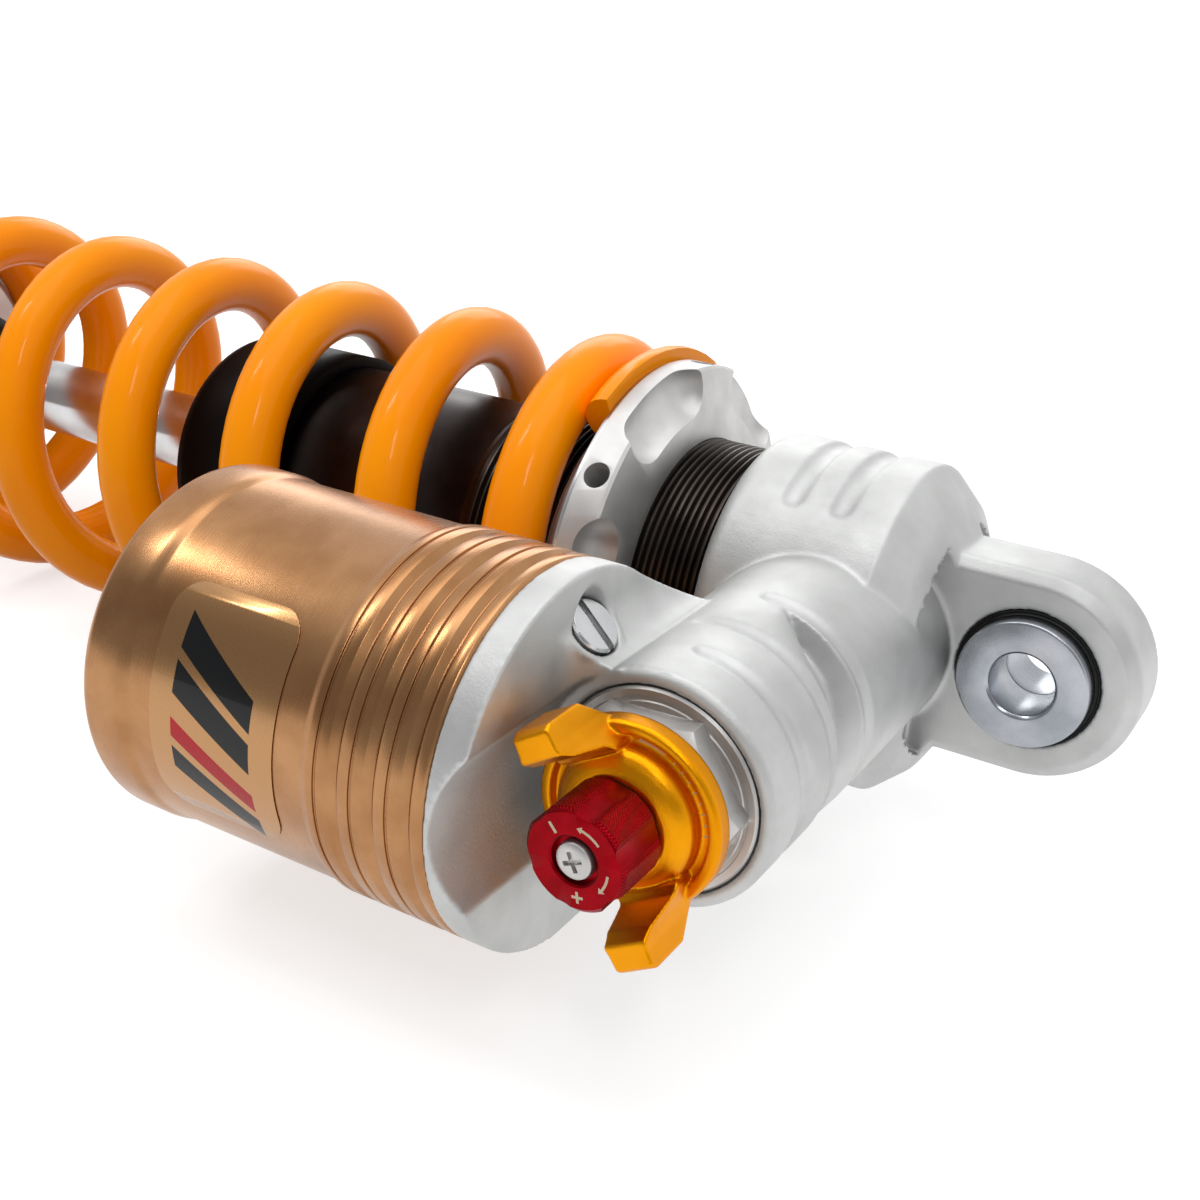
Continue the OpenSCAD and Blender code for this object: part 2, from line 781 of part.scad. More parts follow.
// Least distance between the wire and its next turn, measured on the points
wire_gap = min([
  for (i = [0:ring_count - rings_per_turn], k = [-3:3])
    norm(wire_centre(i) - wire_centre(min(i + rings_per_turn + k, ring_count))) - 2 * wire_r
]);

// Wound from one wire, with closed and ground ends
module spring() {
  echo("least gap between two turns of the wire", wire_gap);
  color("orange") intersection() {
    polyhedron(points = wire_points, faces = wire_faces);
    translate([-spring_bottom + skip, -spring_r - 1, -spring_r - 1])
      cube([spring_len - 2 * skip, 2 * spring_r + 2, 2 * spring_r + 2]);
  }
}

// Threaded collar: finger pockets in the edge of the rim, spanner holes between them
module preload_collar() {
  color("gainsboro") difference() {
    rev_x() polygon([
      [thread_r + run_gap, -collar_top], [thread_r + 2, -collar_top], [collar_r, -rim_top],
      [collar_r, -rim_bottom], [spring_in_r - spigot_gap, -rim_bottom],
      [spring_in_r - spigot_gap, -rim_bottom - collar_spigot + 1.5],
      [spring_in_r - spigot_gap - 1.5, -rim_bottom - collar_spigot],
      [thread_r + run_gap, -rim_bottom - collar_spigot]
    ]);
    for (i = [0:pockets - 1]) rotate([pocket_first + 360 / pockets * i, 0, 0]) collar_pocket();
    for (i = [0:pockets - 2]) on_land(i) cylinder(r = spanner_r, h = far / 10);
    on_land(pockets - 1) cylinder(r = lock_screw_r + fit_gap, h = far / 10);
    on_land(pockets - 1) translate([0, 0, thread_r - collar_r]) cylinder(r = lock_screw_r + fit_gap, h = far / 10);
  }
}

// Places a radial hole in the middle of a land between two pockets, 6 mm deep
module on_land(i) {
  rotate([pocket_first + 360 / pockets * (i + 0.5), 0, 0])
    translate([-(rim_top + rim_bottom) / 2, collar_r - 6, 0]) rotate([-90, 0, 0]) children();
}

// Bean-shaped scoop out of the front edge of the rim
module collar_pocket() {
  translate([-collar_top, 0, 0]) rotate([0, 90, 0]) rotate([0, 0, 90 - pocket_sweep]) {
    rotate_extrude(angle = 2 * pocket_sweep) translate([pocket_axis_r, 0]) circle(pocket_r, $fn = 32);
    for (a = [0, 2 * pocket_sweep]) rotate([0, 0, a]) translate([pocket_axis_r - pocket_r * 0.7, 0, 0])
      rotate([0, 90, 0]) cylinder(r = pocket_r - seam, h = far / 10);
  }
}

module collar_lock_screw() {
  color("dimgray") on_land(pockets - 1) translate([0, 0, 6 - collar_r + thread_r + 2 * run_gap]) difference() {
    cylinder(r = lock_screw_r, h = 9);
    translate([0, 0, 6]) cylinder(r = 1.4, h = far / 10, $fn = 6);
  }
}

// Lever for the high speed circuit: ribbed disc with two raised wings
module high_speed_lever() {
  color("goldenrod") difference() {
    union() {
      rev_y(adj_x) {
        band(0, lever_r, -lever_face, -lever_back);
        band(0, ring_r, -lever_face - ring_h, -lever_face + skip);
        band(0, tube_r, -lever_back - skip, -lever_back + tube_len);
      }
      for (s = [0, 180]) translate([-adj_x, 0, 0]) rotate([0, -wing_turn - s, 0]) wing();
    }
    rev_y(adj_x) {
      band(0, ring_in_r, -far, -lever_face + 0.8);
      band(0, stem_r + run_gap, -far, 0);
    }
    arc_pocket();
  }
}

// One wing, drawn along +X: a post that leans forward from the disc
module wing() {
  tip = lever_face + wing_h;
  intersection() {
    translate([0, 0, -wing_root_w]) linear_extrude(2 * wing_root_w) polygon([
      [ring_in_r + 0.5, -lever_back - 1], [lever_r - 1, -lever_back - 1], [wing_r, -lever_face - 3],
      [wing_r, -tip + 1.5], [wing_r - 1.2, -tip], [wing_in_r + 2, -tip],
      [wing_in_r + 0.6, -tip + 3], [wing_in_r - 0.6, -lever_face - ring_h], [ring_in_r + 0.5, -lever_face - ring_h]
    ]);
    rev_y() band(0, wing_r, -tip, 0);
    translate([0, 0, 0]) rotate([90, 0, 0]) linear_extrude(tip) polygon([
      [0, -wing_root_w], [wing_in_r - 1, -wing_root_w / 1.3], [wing_in_r + 2.4, -wing_w / 2 - 0.4],
      [wing_r + 1, -wing_w / 2], [wing_r + 1, wing_w / 2], [wing_in_r + 2.4, wing_w / 2 + 0.4],
      [wing_in_r - 1, wing_root_w / 1.3], [0, wing_root_w]
    ]);
  }
}

// Curved pocket in the disc between the wings
module arc_pocket() {
  mid = (groove_in_r + groove_out_r) / 2;
  half = (groove_out_r - groove_in_r) / 2;
  for (s = [0, 180])
    translate([-adj_x, -lever_face + groove_deep, 0]) rotate([90, 0, 0])
      rotate([0, 0, wing_turn - 142 + s]) rotate_extrude(angle = 104)
        translate([mid - half, 0]) square([2 * half, far]);
}

module low_speed_knob() {
  color("crimson") difference() {
    rev_y(adj_x) {
      polygon([
        [0, -knob_back], [knob_r - 0.8, -knob_back], [knob_r, -knob_back - 0.8],
        [knob_r, -knob_face + 0.6], [knob_r - 0.6, -knob_face], [0, -knob_face]
      ]);
      band(0, stem_r, -knob_back - 1, -stem_end);
    }
    for (i = [0:knob_flutes - 1]) {
      a = 360 / knob_flutes * i + 20;
      translate([-adj_x + (knob_r + flute_r - flute_deep) * cos(a), -knob_back + 1,
                 (knob_r + flute_r - flute_deep) * sin(a)])
        rotate([90, 0, 0]) cylinder(r = flute_r, h = knob_h + 2);
    }
    rev_y(adj_x) {
      band(0, screw_r + 0.8, -knob_face - skip, -knob_face + screw_sink);
      band(0, 1.6, -knob_face, -knob_back + 1);
    }
  }
}

module knob_screw() {
  seat = knob_face - screw_sink;
  color("white") difference() {
    rev_y(adj_x) {
      polygon([[0, -seat], [screw_r, -seat], [screw_r, -seat - 1], [screw_r - 0.9, -seat - screw_head_h],
               [0, -seat - screw_head_h]]);
      band(0, 1.6 - fit_gap, -seat - 0.3, -seat + 6);
    }
    for (a = [0, 90]) translate([-adj_x, -seat - screw_head_h - skip, 0]) rotate([0, 25 + a, 0])
      cube([3.2, 2.4, 0.8], center = true);
  }
}

module low_speed_needle() {
  color("silver") rev_y(adj_x) polygon([
    [0, -stem_end + 1.5], [stem_r - 0.02, -stem_end + 1.5], [stem_r - 0.02, -low_needle_tip - 8],
    [0.8, -low_needle_tip], [0, -low_needle_tip]
  ]);
}

module floating_piston() {
  color("silver") rev_x(res_offset) difference() {
    band(0, res_bore_r - run_gap, -float_x - float_h / 2, -float_x + float_h / 2);
    band(0, res_bore_r - 5, -float_x - float_h / 2 - skip, -float_x + 2);
    translate([res_bore_r - float_ring_t - run_gap, -float_x - float_ring_w / 2]) square([far, float_ring_w]);
  }
}

module floating_piston_ring() {
  color("black") rev_x(res_offset) band(res_bore_r - float_ring_t, res_bore_r - run_gap,
    -float_x - float_ring_w / 2 + run_gap, -float_x + float_ring_w / 2 - run_gap);
}

module rod() {
  color("whitesmoke") rev_x() polygon([
    [needle_r + run_gap, -rod_end], [rod_r, -rod_end], [rod_r, -piston_x],
    [rod_shoulder, -piston_x], [rod_shoulder, -piston_top + nut_h], [needle_r + run_gap, -piston_top + nut_h]
  ]);
}

module piston() {
  color("silver") difference() {
    rev_x() difference() {
      band(rod_shoulder + fit_gap, body_bore_r - 0.1, -piston_x, -piston_top);
      translate([body_bore_r - 0.1 - band_t, -piston_x + 2]) square([far, piston_h - 4]);
    }
    for (a = [0:45:359]) translate([-piston_x - skip, 14 * cos(a), 14 * sin(a)])
      rotate([0, 90, 0]) cylinder(r = 2.6, h = piston_h + 1, $fn = 32);
  }
}

module piston_band() {
  color("darkgoldenrod") rev_x() band(body_bore_r - band_t - 0.07, body_bore_r - run_gap,
    -piston_x + 2 + fit_gap, -piston_top - 2 - fit_gap);
}

module piston_shims() {
  color("lightsteelblue") for (i = [0:5]) {
    x = -piston_top + shim_gap + i * (shim_t + shim_gap);
    rev_x() band(rod_shoulder + fit_gap, 18 - 1.6 * i, x, x + shim_t);
  }
}

module piston_nut() {
  base = -piston_top + 7 * (shim_t + shim_gap);
  color("dimgray") difference() {
    translate([base, 0, 0]) rotate([0, 90, 0]) cylinder(r = 11, h = nut_h - 2.6, $fn = 6);
    rev_x() band(0, rod_shoulder + fit_gap, -far, 0);
  }
}

module topout_spacer() {
  color("silver") rev_x() band(rod_r + fit_gap, rod_r + 5, -seal_head_x + move_gap, -piston_x - 0.1);
}

module bump_stop() {
  color("darkslategray") rev_x() difference() {
    polygon([
      [rod_r + 0.1, -seat_face], [bump_r, -seat_face], [bump_r, -seat_face + 5],
      [bump_r - 1.6, -seat_face + 8], [bump_r, -seat_face + 11],
      [bump_r - 3, -seat_face + bump_h], [rod_r + 0.1, -seat_face + bump_h]
    ]);
  }
}

// Lower spring seat: hub inside the coils and a flange under them
module lower_seat() {
  flange = spring_r - seat_inset;
  color("gainsboro") rev_x() polygon([
    [rod_r + move_gap, -seat_face], [spring_in_r - 3, -seat_face],
    [spring_in_r - spigot_gap, -seat_face - 2.4], [spring_in_r - spigot_gap, -spring_bottom],
    [flange, -spring_bottom], [flange, -seat_back + 3], [flange - 4, -seat_back],
    [neck_r + fit_gap, -seat_back],
    [neck_r + fit_gap, -seat_face - hub_wall], [rod_r + move_gap, -seat_face - hub_wall]
  ]);
}

module seat_clip() {
  color("dimgray") rev_x()
    band(rod_r + 1.2, neck_r - 0.6, -seat_face - hub_wall - 1.6, -seat_face - hub_wall - 0.2);
}

// Outline of the fork seen along its bolt
module clevis_profile() {
  translate([-ear_x, 0]) circle(ear_r);
  polygon([
    [-ear_x, -ear_r], [-block_x, -ear_r], [-collar_back, -shoulder_r + 3],
    [-collar_back, shoulder_r - 3], [-block_x, ear_r], [-ear_x, ear_r]
  ]);
}

module clevis() {
  slot_r = fork_gap / 2;
  slot_x = ear_x - fork_depth;
  color("gainsboro") difference() {
    union() {
      intersection() {
        translate([0, fork_half, 0]) rotate([90, 0, 0]) linear_extrude(2 * fork_half) clevis_profile();
        rev_x() polygon([
          [0, -ear_x - ear_r - 1], [far / 2, -ear_x - ear_r - 1], [far / 2, -block_x],
          [shoulder_r, -collar_back], [0, -collar_back]
        ]);
      }
      rev_x() {
        band(0, shoulder_r, -collar_back - skip, -seat_back - run_gap);
        band(0, neck_r, -seat_back - 1, -seat_face - hub_wall - 1.7);
      }
    }
    // fork gap with a round floor
    translate([-ear_x - far, -slot_r, -far / 2]) cube([far + ear_x - slot_x, fork_gap, far]);
    rev_y(ear_x) band(0, lower_bolt_r, -fork_half - skip, fork_half + skip);
    // socket of the rod and the way for the metering rod
    rev_x() {
      band(0, rod_r + fit_gap, -rod_end - fit_gap, 0);
      band(0, needle_r + run_gap, -dial_x - 4, -rod_end);
    }
    // cross bore of the rebound dial
    translate([-dial_x, 4.5, 0]) rotate([90, 0, 0]) cylinder(r = dial_stem_r + run_gap, h = far);
    translate([-dial_x, -fork_half + 1.5, 0]) rotate([90, 0, 0]) cylinder(r = dial_r + move_gap, h = far);
  }
}

module rebound_dial() {
  base = -fork_half + 1.5 - 2 * run_gap;
  color("goldenrod") translate([-dial_x, base, 0]) difference() {
    union() {
      rotate([90, 0, 0]) cylinder(r = dial_r, h = dial_t);
      translate([0, dial_stem_len, 0]) rotate([90, 0, 0]) cylinder(r = dial_stem_r, h = dial_stem_len + skip);
    }
    translate([0, -dial_t, 0]) cube([2 * dial_r + 1, 2.4, 1.8], center = true);
    for (a = [0:30:359]) rotate([0, a, 0]) translate([dial_r + 0.7, skip, 0])
      rotate([90, 0, 0]) cylinder(r = 1.2, h = far, $fn = 24);
  }
}

module rebound_rod() {
  color("silver") rev_x() polygon([
    [0, -dial_x + dial_stem_r + 0.8], [needle_r, -dial_x + dial_stem_r + 0.8], [needle_r, -piston_top - 4],
    [needle_r / 2, -piston_top + 4], [0, -piston_top + 4]
  ]);
}

head();
body_tube();
body_end_cap();
seal_head();
rod_bush();
oil_seal();
dust_wiper();
reservoir_tube();
reservoir_end_cap();
reservoir_clip();
gas_valve();
gas_valve_cap();
reservoir_label();
bleed_plug();
adjuster_body();
adjuster_oring();
adjuster_washer();
compression_piston();
compression_shims();
eye_race();
eye_clips();
eye_seals();
eye_ball();
eye_spacers();
thrust_washer();
spring();
preload_collar();
collar_lock_screw();
high_speed_lever();
low_speed_knob();
knob_screw();
low_speed_needle();
floating_piston();
floating_piston_ring();
rod();
piston();
piston_band();
piston_shims();
piston_nut();
topout_spacer();
bump_stop();
lower_seat();
seat_clip();
clevis();
rebound_dial();
rebound_rod();
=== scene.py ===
import bpy
import math
from mathutils import Matrix, Vector


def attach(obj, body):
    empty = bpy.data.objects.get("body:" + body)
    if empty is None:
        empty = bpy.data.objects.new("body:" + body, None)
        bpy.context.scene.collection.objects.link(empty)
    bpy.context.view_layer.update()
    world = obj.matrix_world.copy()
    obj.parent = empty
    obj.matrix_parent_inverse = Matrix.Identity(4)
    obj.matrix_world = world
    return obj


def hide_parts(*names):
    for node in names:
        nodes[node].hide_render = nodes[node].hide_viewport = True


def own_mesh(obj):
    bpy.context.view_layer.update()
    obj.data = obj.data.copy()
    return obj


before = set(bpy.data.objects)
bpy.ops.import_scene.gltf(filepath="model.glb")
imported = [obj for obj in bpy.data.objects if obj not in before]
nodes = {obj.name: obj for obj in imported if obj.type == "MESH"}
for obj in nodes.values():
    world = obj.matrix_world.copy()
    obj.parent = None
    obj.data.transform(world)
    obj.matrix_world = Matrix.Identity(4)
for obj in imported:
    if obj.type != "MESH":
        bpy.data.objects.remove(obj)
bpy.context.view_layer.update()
mm = 0.001
print("frame loaded:", len(nodes), "nodes")

# Where the adjuster's and the reservoir's axes are
adjuster = {"x": -35.0}
reservoirAxis = {"y": -80.3}


# Selection and modifiers

def pick(obj):
    bpy.ops.object.select_all(action="DESELECT")
    obj.select_set(True)
    bpy.context.view_layer.objects.active = obj


def modify(obj, kind, **settings):
    pick(obj)
    mod = obj.modifiers.new(kind.lower(), kind)
    for key, value in settings.items():
        setattr(mod, key, value)
    bpy.ops.object.modifier_apply(modifier=mod.name)
    return obj


def edit(obj, *steps):
    # runs edit mode steps on the whole mesh
    pick(obj)
    bpy.ops.object.mode_set(mode="EDIT")
    bpy.ops.mesh.select_all(action="SELECT")
    for step in steps:
        step()
    bpy.ops.object.mode_set(mode="OBJECT")
    return obj


def weld():
    bpy.ops.mesh.remove_doubles(threshold=2e-6)
    bpy.ops.mesh.delete_loose()
    bpy.ops.mesh.select_all(action="SELECT")
    bpy.ops.mesh.normals_make_consistent(inside=False)


def soften(obj, width=0.3, segments=2, limit=30):
    # small machined edge radius, then smooth shading
    if width:
        modify(obj, "BEVEL", width=width * mm, segments=segments, limit_method="ANGLE",
               angle_limit=math.radians(limit), use_clamp_overlap=True)
    pick(obj)
    bpy.ops.object.shade_smooth_by_angle(angle=math.radians(limit + 5))
    return obj


def place(obj, spin=(0, 0, 0), at=(0, 0, 0)):
    # turns in degrees about X, then Y, then Z, then moves, all in the mesh
    turn = Matrix.Rotation(math.radians(spin[2]), 4, "Z") @ Matrix.Rotation(math.radians(spin[1]), 4, "Y") \
        @ Matrix.Rotation(math.radians(spin[0]), 4, "X")
    obj.data.transform(Matrix.Translation([c * mm for c in at]) @ turn)
    return obj


def ring(name, points):
    # closed line of points, started from a circle
    bpy.ops.object.select_all(action="DESELECT")
    bpy.ops.mesh.primitive_circle_add(vertices=len(points), radius=mm, fill_type="NOTHING")
    obj = bpy.context.active_object
    obj.name = name
    for vert, point in zip(obj.data.vertices, points):
        vert.co = [c * mm for c in point]
    return obj


def turned(name, profile, axis="X", at=(0, 0, 0), steps=112, edge=0.3, segments=2):
    # profile of (radius, along) points, spun about an axis through at
    if axis == "X":
        points = [(at[0] + a, at[1] + r, at[2]) for r, a in profile]
        direction = (1, 0, 0)
    elif axis == "Y":
        points = [(at[0] + r, at[1] + a, at[2]) for r, a in profile]
        direction = (0, 1, 0)
    else:
        points = [(at[0] + r, at[1], at[2] + a) for r, a in profile]
        direction = (0, 0, 1)
    obj = ring(name, points)
    edit(obj, lambda: bpy.ops.mesh.spin(steps=steps, angle=2 * math.pi, center=[c * mm for c in at],
                                        axis=direction), weld)
    return soften(obj, edge, segments)


def slab(name, outline, depth):
    # outline of (x, y) points, extruded along Z from 0 to depth
    obj = ring(name, [(x, y, 0) for x, y in outline])
    edit(obj, lambda: bpy.ops.mesh.edge_face_add(),
         lambda: bpy.ops.mesh.extrude_region_move(TRANSFORM_OT_translate={"value": (0, 0, depth * mm)}),
         lambda: bpy.ops.mesh.select_all(action="SELECT"), weld)
    return soften(obj, 0)


def arc(radius, start, stop, count, centre=(0, 0)):
    # points on an arc, in degrees
    return [(centre[0] + radius * math.cos(math.radians(start + (stop - start) * i / (count - 1))),
             centre[1] + radius * math.sin(math.radians(start + (stop - start) * i / (count - 1))))
            for i in range(count)]


def combine(target, tool, operation="DIFFERENCE"):
    modify(target, "BOOLEAN", operation=operation, object=tool, solver="EXACT")
    bpy.data.objects.remove(tool)
    return target


def block(name, size, at):
    # box used as a cutter
    bpy.ops.object.select_all(action="DESELECT")
    bpy.ops.mesh.primitive_cube_add(size=1)
    obj = bpy.context.active_object
    obj.name = name
    obj.data.transform(Matrix.Diagonal([c * mm for c in size] + [1]))
    return place(obj, at=at)


def rodTool(name, r, length, at, spin):
    # round cutter, turned in degrees and moved into place
    bpy.ops.object.select_all(action="DESELECT")
    bpy.ops.mesh.primitive_cylinder_add(vertices=64, radius=r * mm, depth=length * mm)
    obj = bpy.context.active_object
    obj.name = name
    return place(obj, spin, at)


def swept(name, sides, steps, point):
    # closed tube of rings, each vertex placed by point(way along, way round), both from 0 to 1
    obj = ring(name, [(math.sin(2 * math.pi * i / sides), 10 + math.cos(2 * math.pi * i / sides), 0)
                      for i in range(sides)])
    modify(obj, "SCREW", axis="X", angle=math.radians(350), screw_offset=-mm, steps=steps,
           render_steps=steps, use_smooth_shade=True)
    for index, vert in enumerate(obj.data.vertices):
        step, side = divmod(index, sides)
        vert.co = [c * mm for c in point(step / steps, side / sides)]
    return edit(obj, lambda: bpy.ops.mesh.fill_holes(sides=0),
                lambda: bpy.ops.mesh.select_all(action="SELECT"), weld)


def copyOf(node, name):
    # a welded copy of a solid, to be dressed
    pick(nodes[node])
    bpy.ops.object.duplicate()
    obj = bpy.context.active_object
    obj.name = name
    obj.parent = None
    for key in list(obj.keys()):
        del obj[key]
    return edit(obj, weld)


def join(first, *others):
    bpy.ops.object.select_all(action="DESELECT")
    for obj in (first,) + others:
        obj.select_set(True)
    bpy.context.view_layer.objects.active = first
    bpy.ops.object.join()
    return first


def fit(obj, material, body, slot, *replaced):
    # finish, body and the solids that a piece stands for
    obj.data.materials.clear()
    obj.data.materials.append(material)
    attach(obj, body)
    if replaced:
        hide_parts(*replaced)
    return obj


# Materials

def linear(code):
    parts = [int(code[i:i + 2], 16) / 255 for i in (1, 3, 5)]
    return [c / 12.92 if c < 0.04045 else ((c + 0.055) / 1.055) ** 2.4 for c in parts] + [1]


def addNode(tree, kind, inputs=None, **settings):
    made = tree.nodes.new("ShaderNode" + kind)
    for key, value in settings.items():
        setattr(made, key, value)
    for key, value in (inputs or {}).items():
        if isinstance(value, bpy.types.NodeSocket):
            tree.links.new(value, made.inputs[key])
        else:
            made.inputs[key].default_value = value
    return made


def startFinish(name, **sockets):
    # a new material with its shader's plain values
    made = bpy.data.materials.new(name)
    made.use_nodes = True
    tree = made.node_tree
    shader = tree.nodes["Principled BSDF"]
    for key, value in sockets.items():
        shader.inputs[key.replace("_", " ")].default_value = value
    place = addNode(tree, "TexCoord").outputs["Object"]
    return made, tree, shader, place


def calc(tree, operation, a, b=0.0):
    return addNode(tree, "Math", {0: a, 1: b}, operation=operation).outputs[0]


def tint(tree, shader, value, low, high, lowAt=0.35, highAt=0.65):
    # colour between two tones, driven by a pattern
    ramp = addNode(tree, "ValToRGB", {"Fac": value})
    ramp.color_ramp.elements[0].position = lowAt
    ramp.color_ramp.elements[0].color = linear(low)
    ramp.color_ramp.elements[1].position = highAt
    ramp.color_ramp.elements[1].color = linear(high)
    tree.links.new(ramp.outputs["Color"], shader.inputs["Base Color"])


def roughen(tree, shader, value, low, high):
    spread = addNode(tree, "MapRange", {"Value": value, "To Min": low, "To Max": high})
    tree.links.new(spread.outputs[0], shader.inputs["Roughness"])


def relief(tree, shader, height, distance, strength):
    # bump of a real height in millimetres
    made = addNode(tree, "Bump", {"Height": height, "Distance": distance * mm, "Strength": strength})
    tree.links.new(made.outputs[0], shader.inputs["Normal"])


def noise(tree, place, size, detail):
    # size is the pattern's grain in millimetres
    made = addNode(tree, "TexNoise", {"Vector": place, "Scale": 1 / (size * mm), "Detail": detail})
    return made.outputs["Fac"]


def turnedRings(tree, r, along, groove):
    # streaks left by a lathe tool, groove millimetres apart
    path = calc(tree, "ADD", r, along)
    return addNode(tree, "TexNoise", {"W": path, "Scale": 1 / (groove * mm), "Detail": 3.0},
                   noise_dimensions="1D").outputs["Fac"]


def within(tree, value, centre, half):
    # 1 where value is no further than half from centre
    return addNode(tree, "Math", {0: value, 1: centre, 2: half}, operation="COMPARE").outputs[0]


def radius(tree, place, axis, at):
    # distance in metres from an axis through at, the way along it and the turn about it
    local = addNode(tree, "Mapping", {"Vector": place, "Location": [-c * mm for c in at]}).outputs[0]
    parts = addNode(tree, "SeparateXYZ", {"Vector": local}).outputs
    along = {"X": 0, "Y": 1, "Z": 2}[axis]
    a, b = [parts[i] for i in range(3) if i != along]
    squares = calc(tree, "ADD", calc(tree, "MULTIPLY", a, a), calc(tree, "MULTIPLY", b, b))
    return calc(tree, "SQRT", squares), parts[along], calc(tree, "ARCTAN2", b, a)


def castFinish(name, dark, light, rough=0.42, grit=0.42):
    # bead-blasted cast aluminium: dull, with a fine even grit and slightly cloudy
    made, tree, shader, place = startFinish(name, Metallic=1.0, Roughness=rough)
    tint(tree, shader, noise(tree, place, 14, 4), dark, light)
    roughen(tree, shader, noise(tree, place, 3, 3), rough - 0.06, rough + 0.08)
    relief(tree, shader, noise(tree, place, grit, 2), 0.045, 0.8)
    return made


def turnedFinish(name, dark, light, axis, at, rough=0.25, groove=0.12, depth=0.01):
    # turned metal: fine rings round the axis, which show as soft streaks across it
    made, tree, shader, place = startFinish(name, Metallic=1.0, Roughness=rough)
    r, along = radius(tree, place, axis, at)[:2]
    rings = turnedRings(tree, r, along, groove)
    tint(tree, shader, noise(tree, place, 9, 3), dark, light)
    roughen(tree, shader, rings, rough - 0.06, rough + 0.1)
    relief(tree, shader, rings, depth, 0.6)
    return made


def paintFinish(name, dark, light, rough=0.3, coat=0.13):
    # powder coat: deep colour under a clear skin with a faint orange peel
    made, tree, shader, place = startFinish(name, Metallic=0.0, Roughness=rough, Coat_Weight=coat,
                                            Coat_Roughness=0.04, Specular_IOR_Level=0.06)
    tint(tree, shader, noise(tree, place, 30, 3), dark, light)
    relief(tree, shader, noise(tree, place, 2.2, 2), 0.02, 0.5)
    return made


def rubberFinish(name, dark, light, rough=0.55, grain=0.5):
    # moulded rubber: almost black, dull, with a fine skin
    made, tree, shader, place = startFinish(name, Roughness=rough, Specular_IOR_Level=0.35)
    tint(tree, shader, noise(tree, place, 4, 3), dark, light)
    relief(tree, shader, noise(tree, place, grain, 2), 0.02, 0.6)
    return made


knurl = {"round": 44.0, "pitch": 1.2, "inner": 7.9, "depth": 0.14}


def knurlFinish(name, dark, light, at, rough=0.33):
    # red anodising over turned metal, with a diamond knurl on the outer skin only
    made, tree, shader, place = startFinish(name, Metallic=1.0, Roughness=rough)
    r, along, turn = radius(tree, place, "Y", at)
    tint(tree, shader, noise(tree, place, 5, 3), dark, light)
    ways = []
    for sign in (1, -1):
        phase = calc(tree, "ADD", calc(tree, "MULTIPLY", turn, knurl["round"]),
                     calc(tree, "MULTIPLY", along, sign * 2 * math.pi / (knurl["pitch"] * mm)))
        ways.append(calc(tree, "ABSOLUTE", calc(tree, "SINE", phase)))
    lands = calc(tree, "GREATER_THAN", r, knurl["inner"] * mm)
    diamonds = calc(tree, "MULTIPLY", calc(tree, "MULTIPLY", ways[0], ways[1]), lands)
    roughen(tree, shader, noise(tree, place, 0.5, 2), rough - 0.05, rough + 0.1)
    relief(tree, shader, diamonds, knurl["depth"], 0.9)
    return made


# Stripes printed on the label, in millimetres from its middle: (centre, half width) along a slant
stripes = {"middle": 97.9, "halfWide": 8.2, "slope": 0.55, "ink": ((12.5, 2.6), (5.6, 2.6), (-8.0, 2.0)),
           "accent": (-2.6, 1.7), "groove": 0.2}


def labelFinish(name, film, ink, accent):
    # clear glossy film over the anodised tube, with plain printed stripes
    made, tree, shader, place = startFinish(name, Roughness=0.25, Specular_IOR_Level=0.15, Coat_Weight=0.3,
                                            Coat_Roughness=0.03)
    r, along = radius(tree, place, "X", (0, reservoirAxis["y"], 0))[:2]
    across = calc(tree, "ADD", calc(tree, "MULTIPLY", along, 1 / mm), stripes["middle"])
    inside = within(tree, across, 0.0, stripes["halfWide"])
    height = calc(tree, "MULTIPLY", addNode(tree, "SeparateXYZ", {"Vector": place}).outputs[2], 1 / mm)
    slant = calc(tree, "ADD", height, calc(tree, "MULTIPLY", across, stripes["slope"]))
    bars = [within(tree, slant, centre, half) for centre, half in stripes["ink"]]
    inkMask = calc(tree, "MAXIMUM", calc(tree, "MAXIMUM", bars[0], bars[1]), bars[2])
    inkMask = calc(tree, "MULTIPLY", inkMask, inside)
    red = calc(tree, "MULTIPLY", within(tree, slant, *stripes["accent"]), inside)
    base = addNode(tree, "Mix", {6: linear(film), 7: linear(ink), 0: inkMask}, data_type="RGBA").outputs[2]
    colour = addNode(tree, "Mix", {6: base, 7: linear(accent), 0: red}, data_type="RGBA").outputs[2]
    tree.links.new(colour, shader.inputs["Base Color"])
    metal = calc(tree, "SUBTRACT", 1.0, calc(tree, "MAXIMUM", inkMask, red))
    tree.links.new(metal, shader.inputs["Metallic"])
    rings = turnedRings(tree, r, along, stripes["groove"])
    roughen(tree, shader, rings, 0.2, 0.34)
    relief(tree, shader, rings, 0.008, 0.5)
    return made


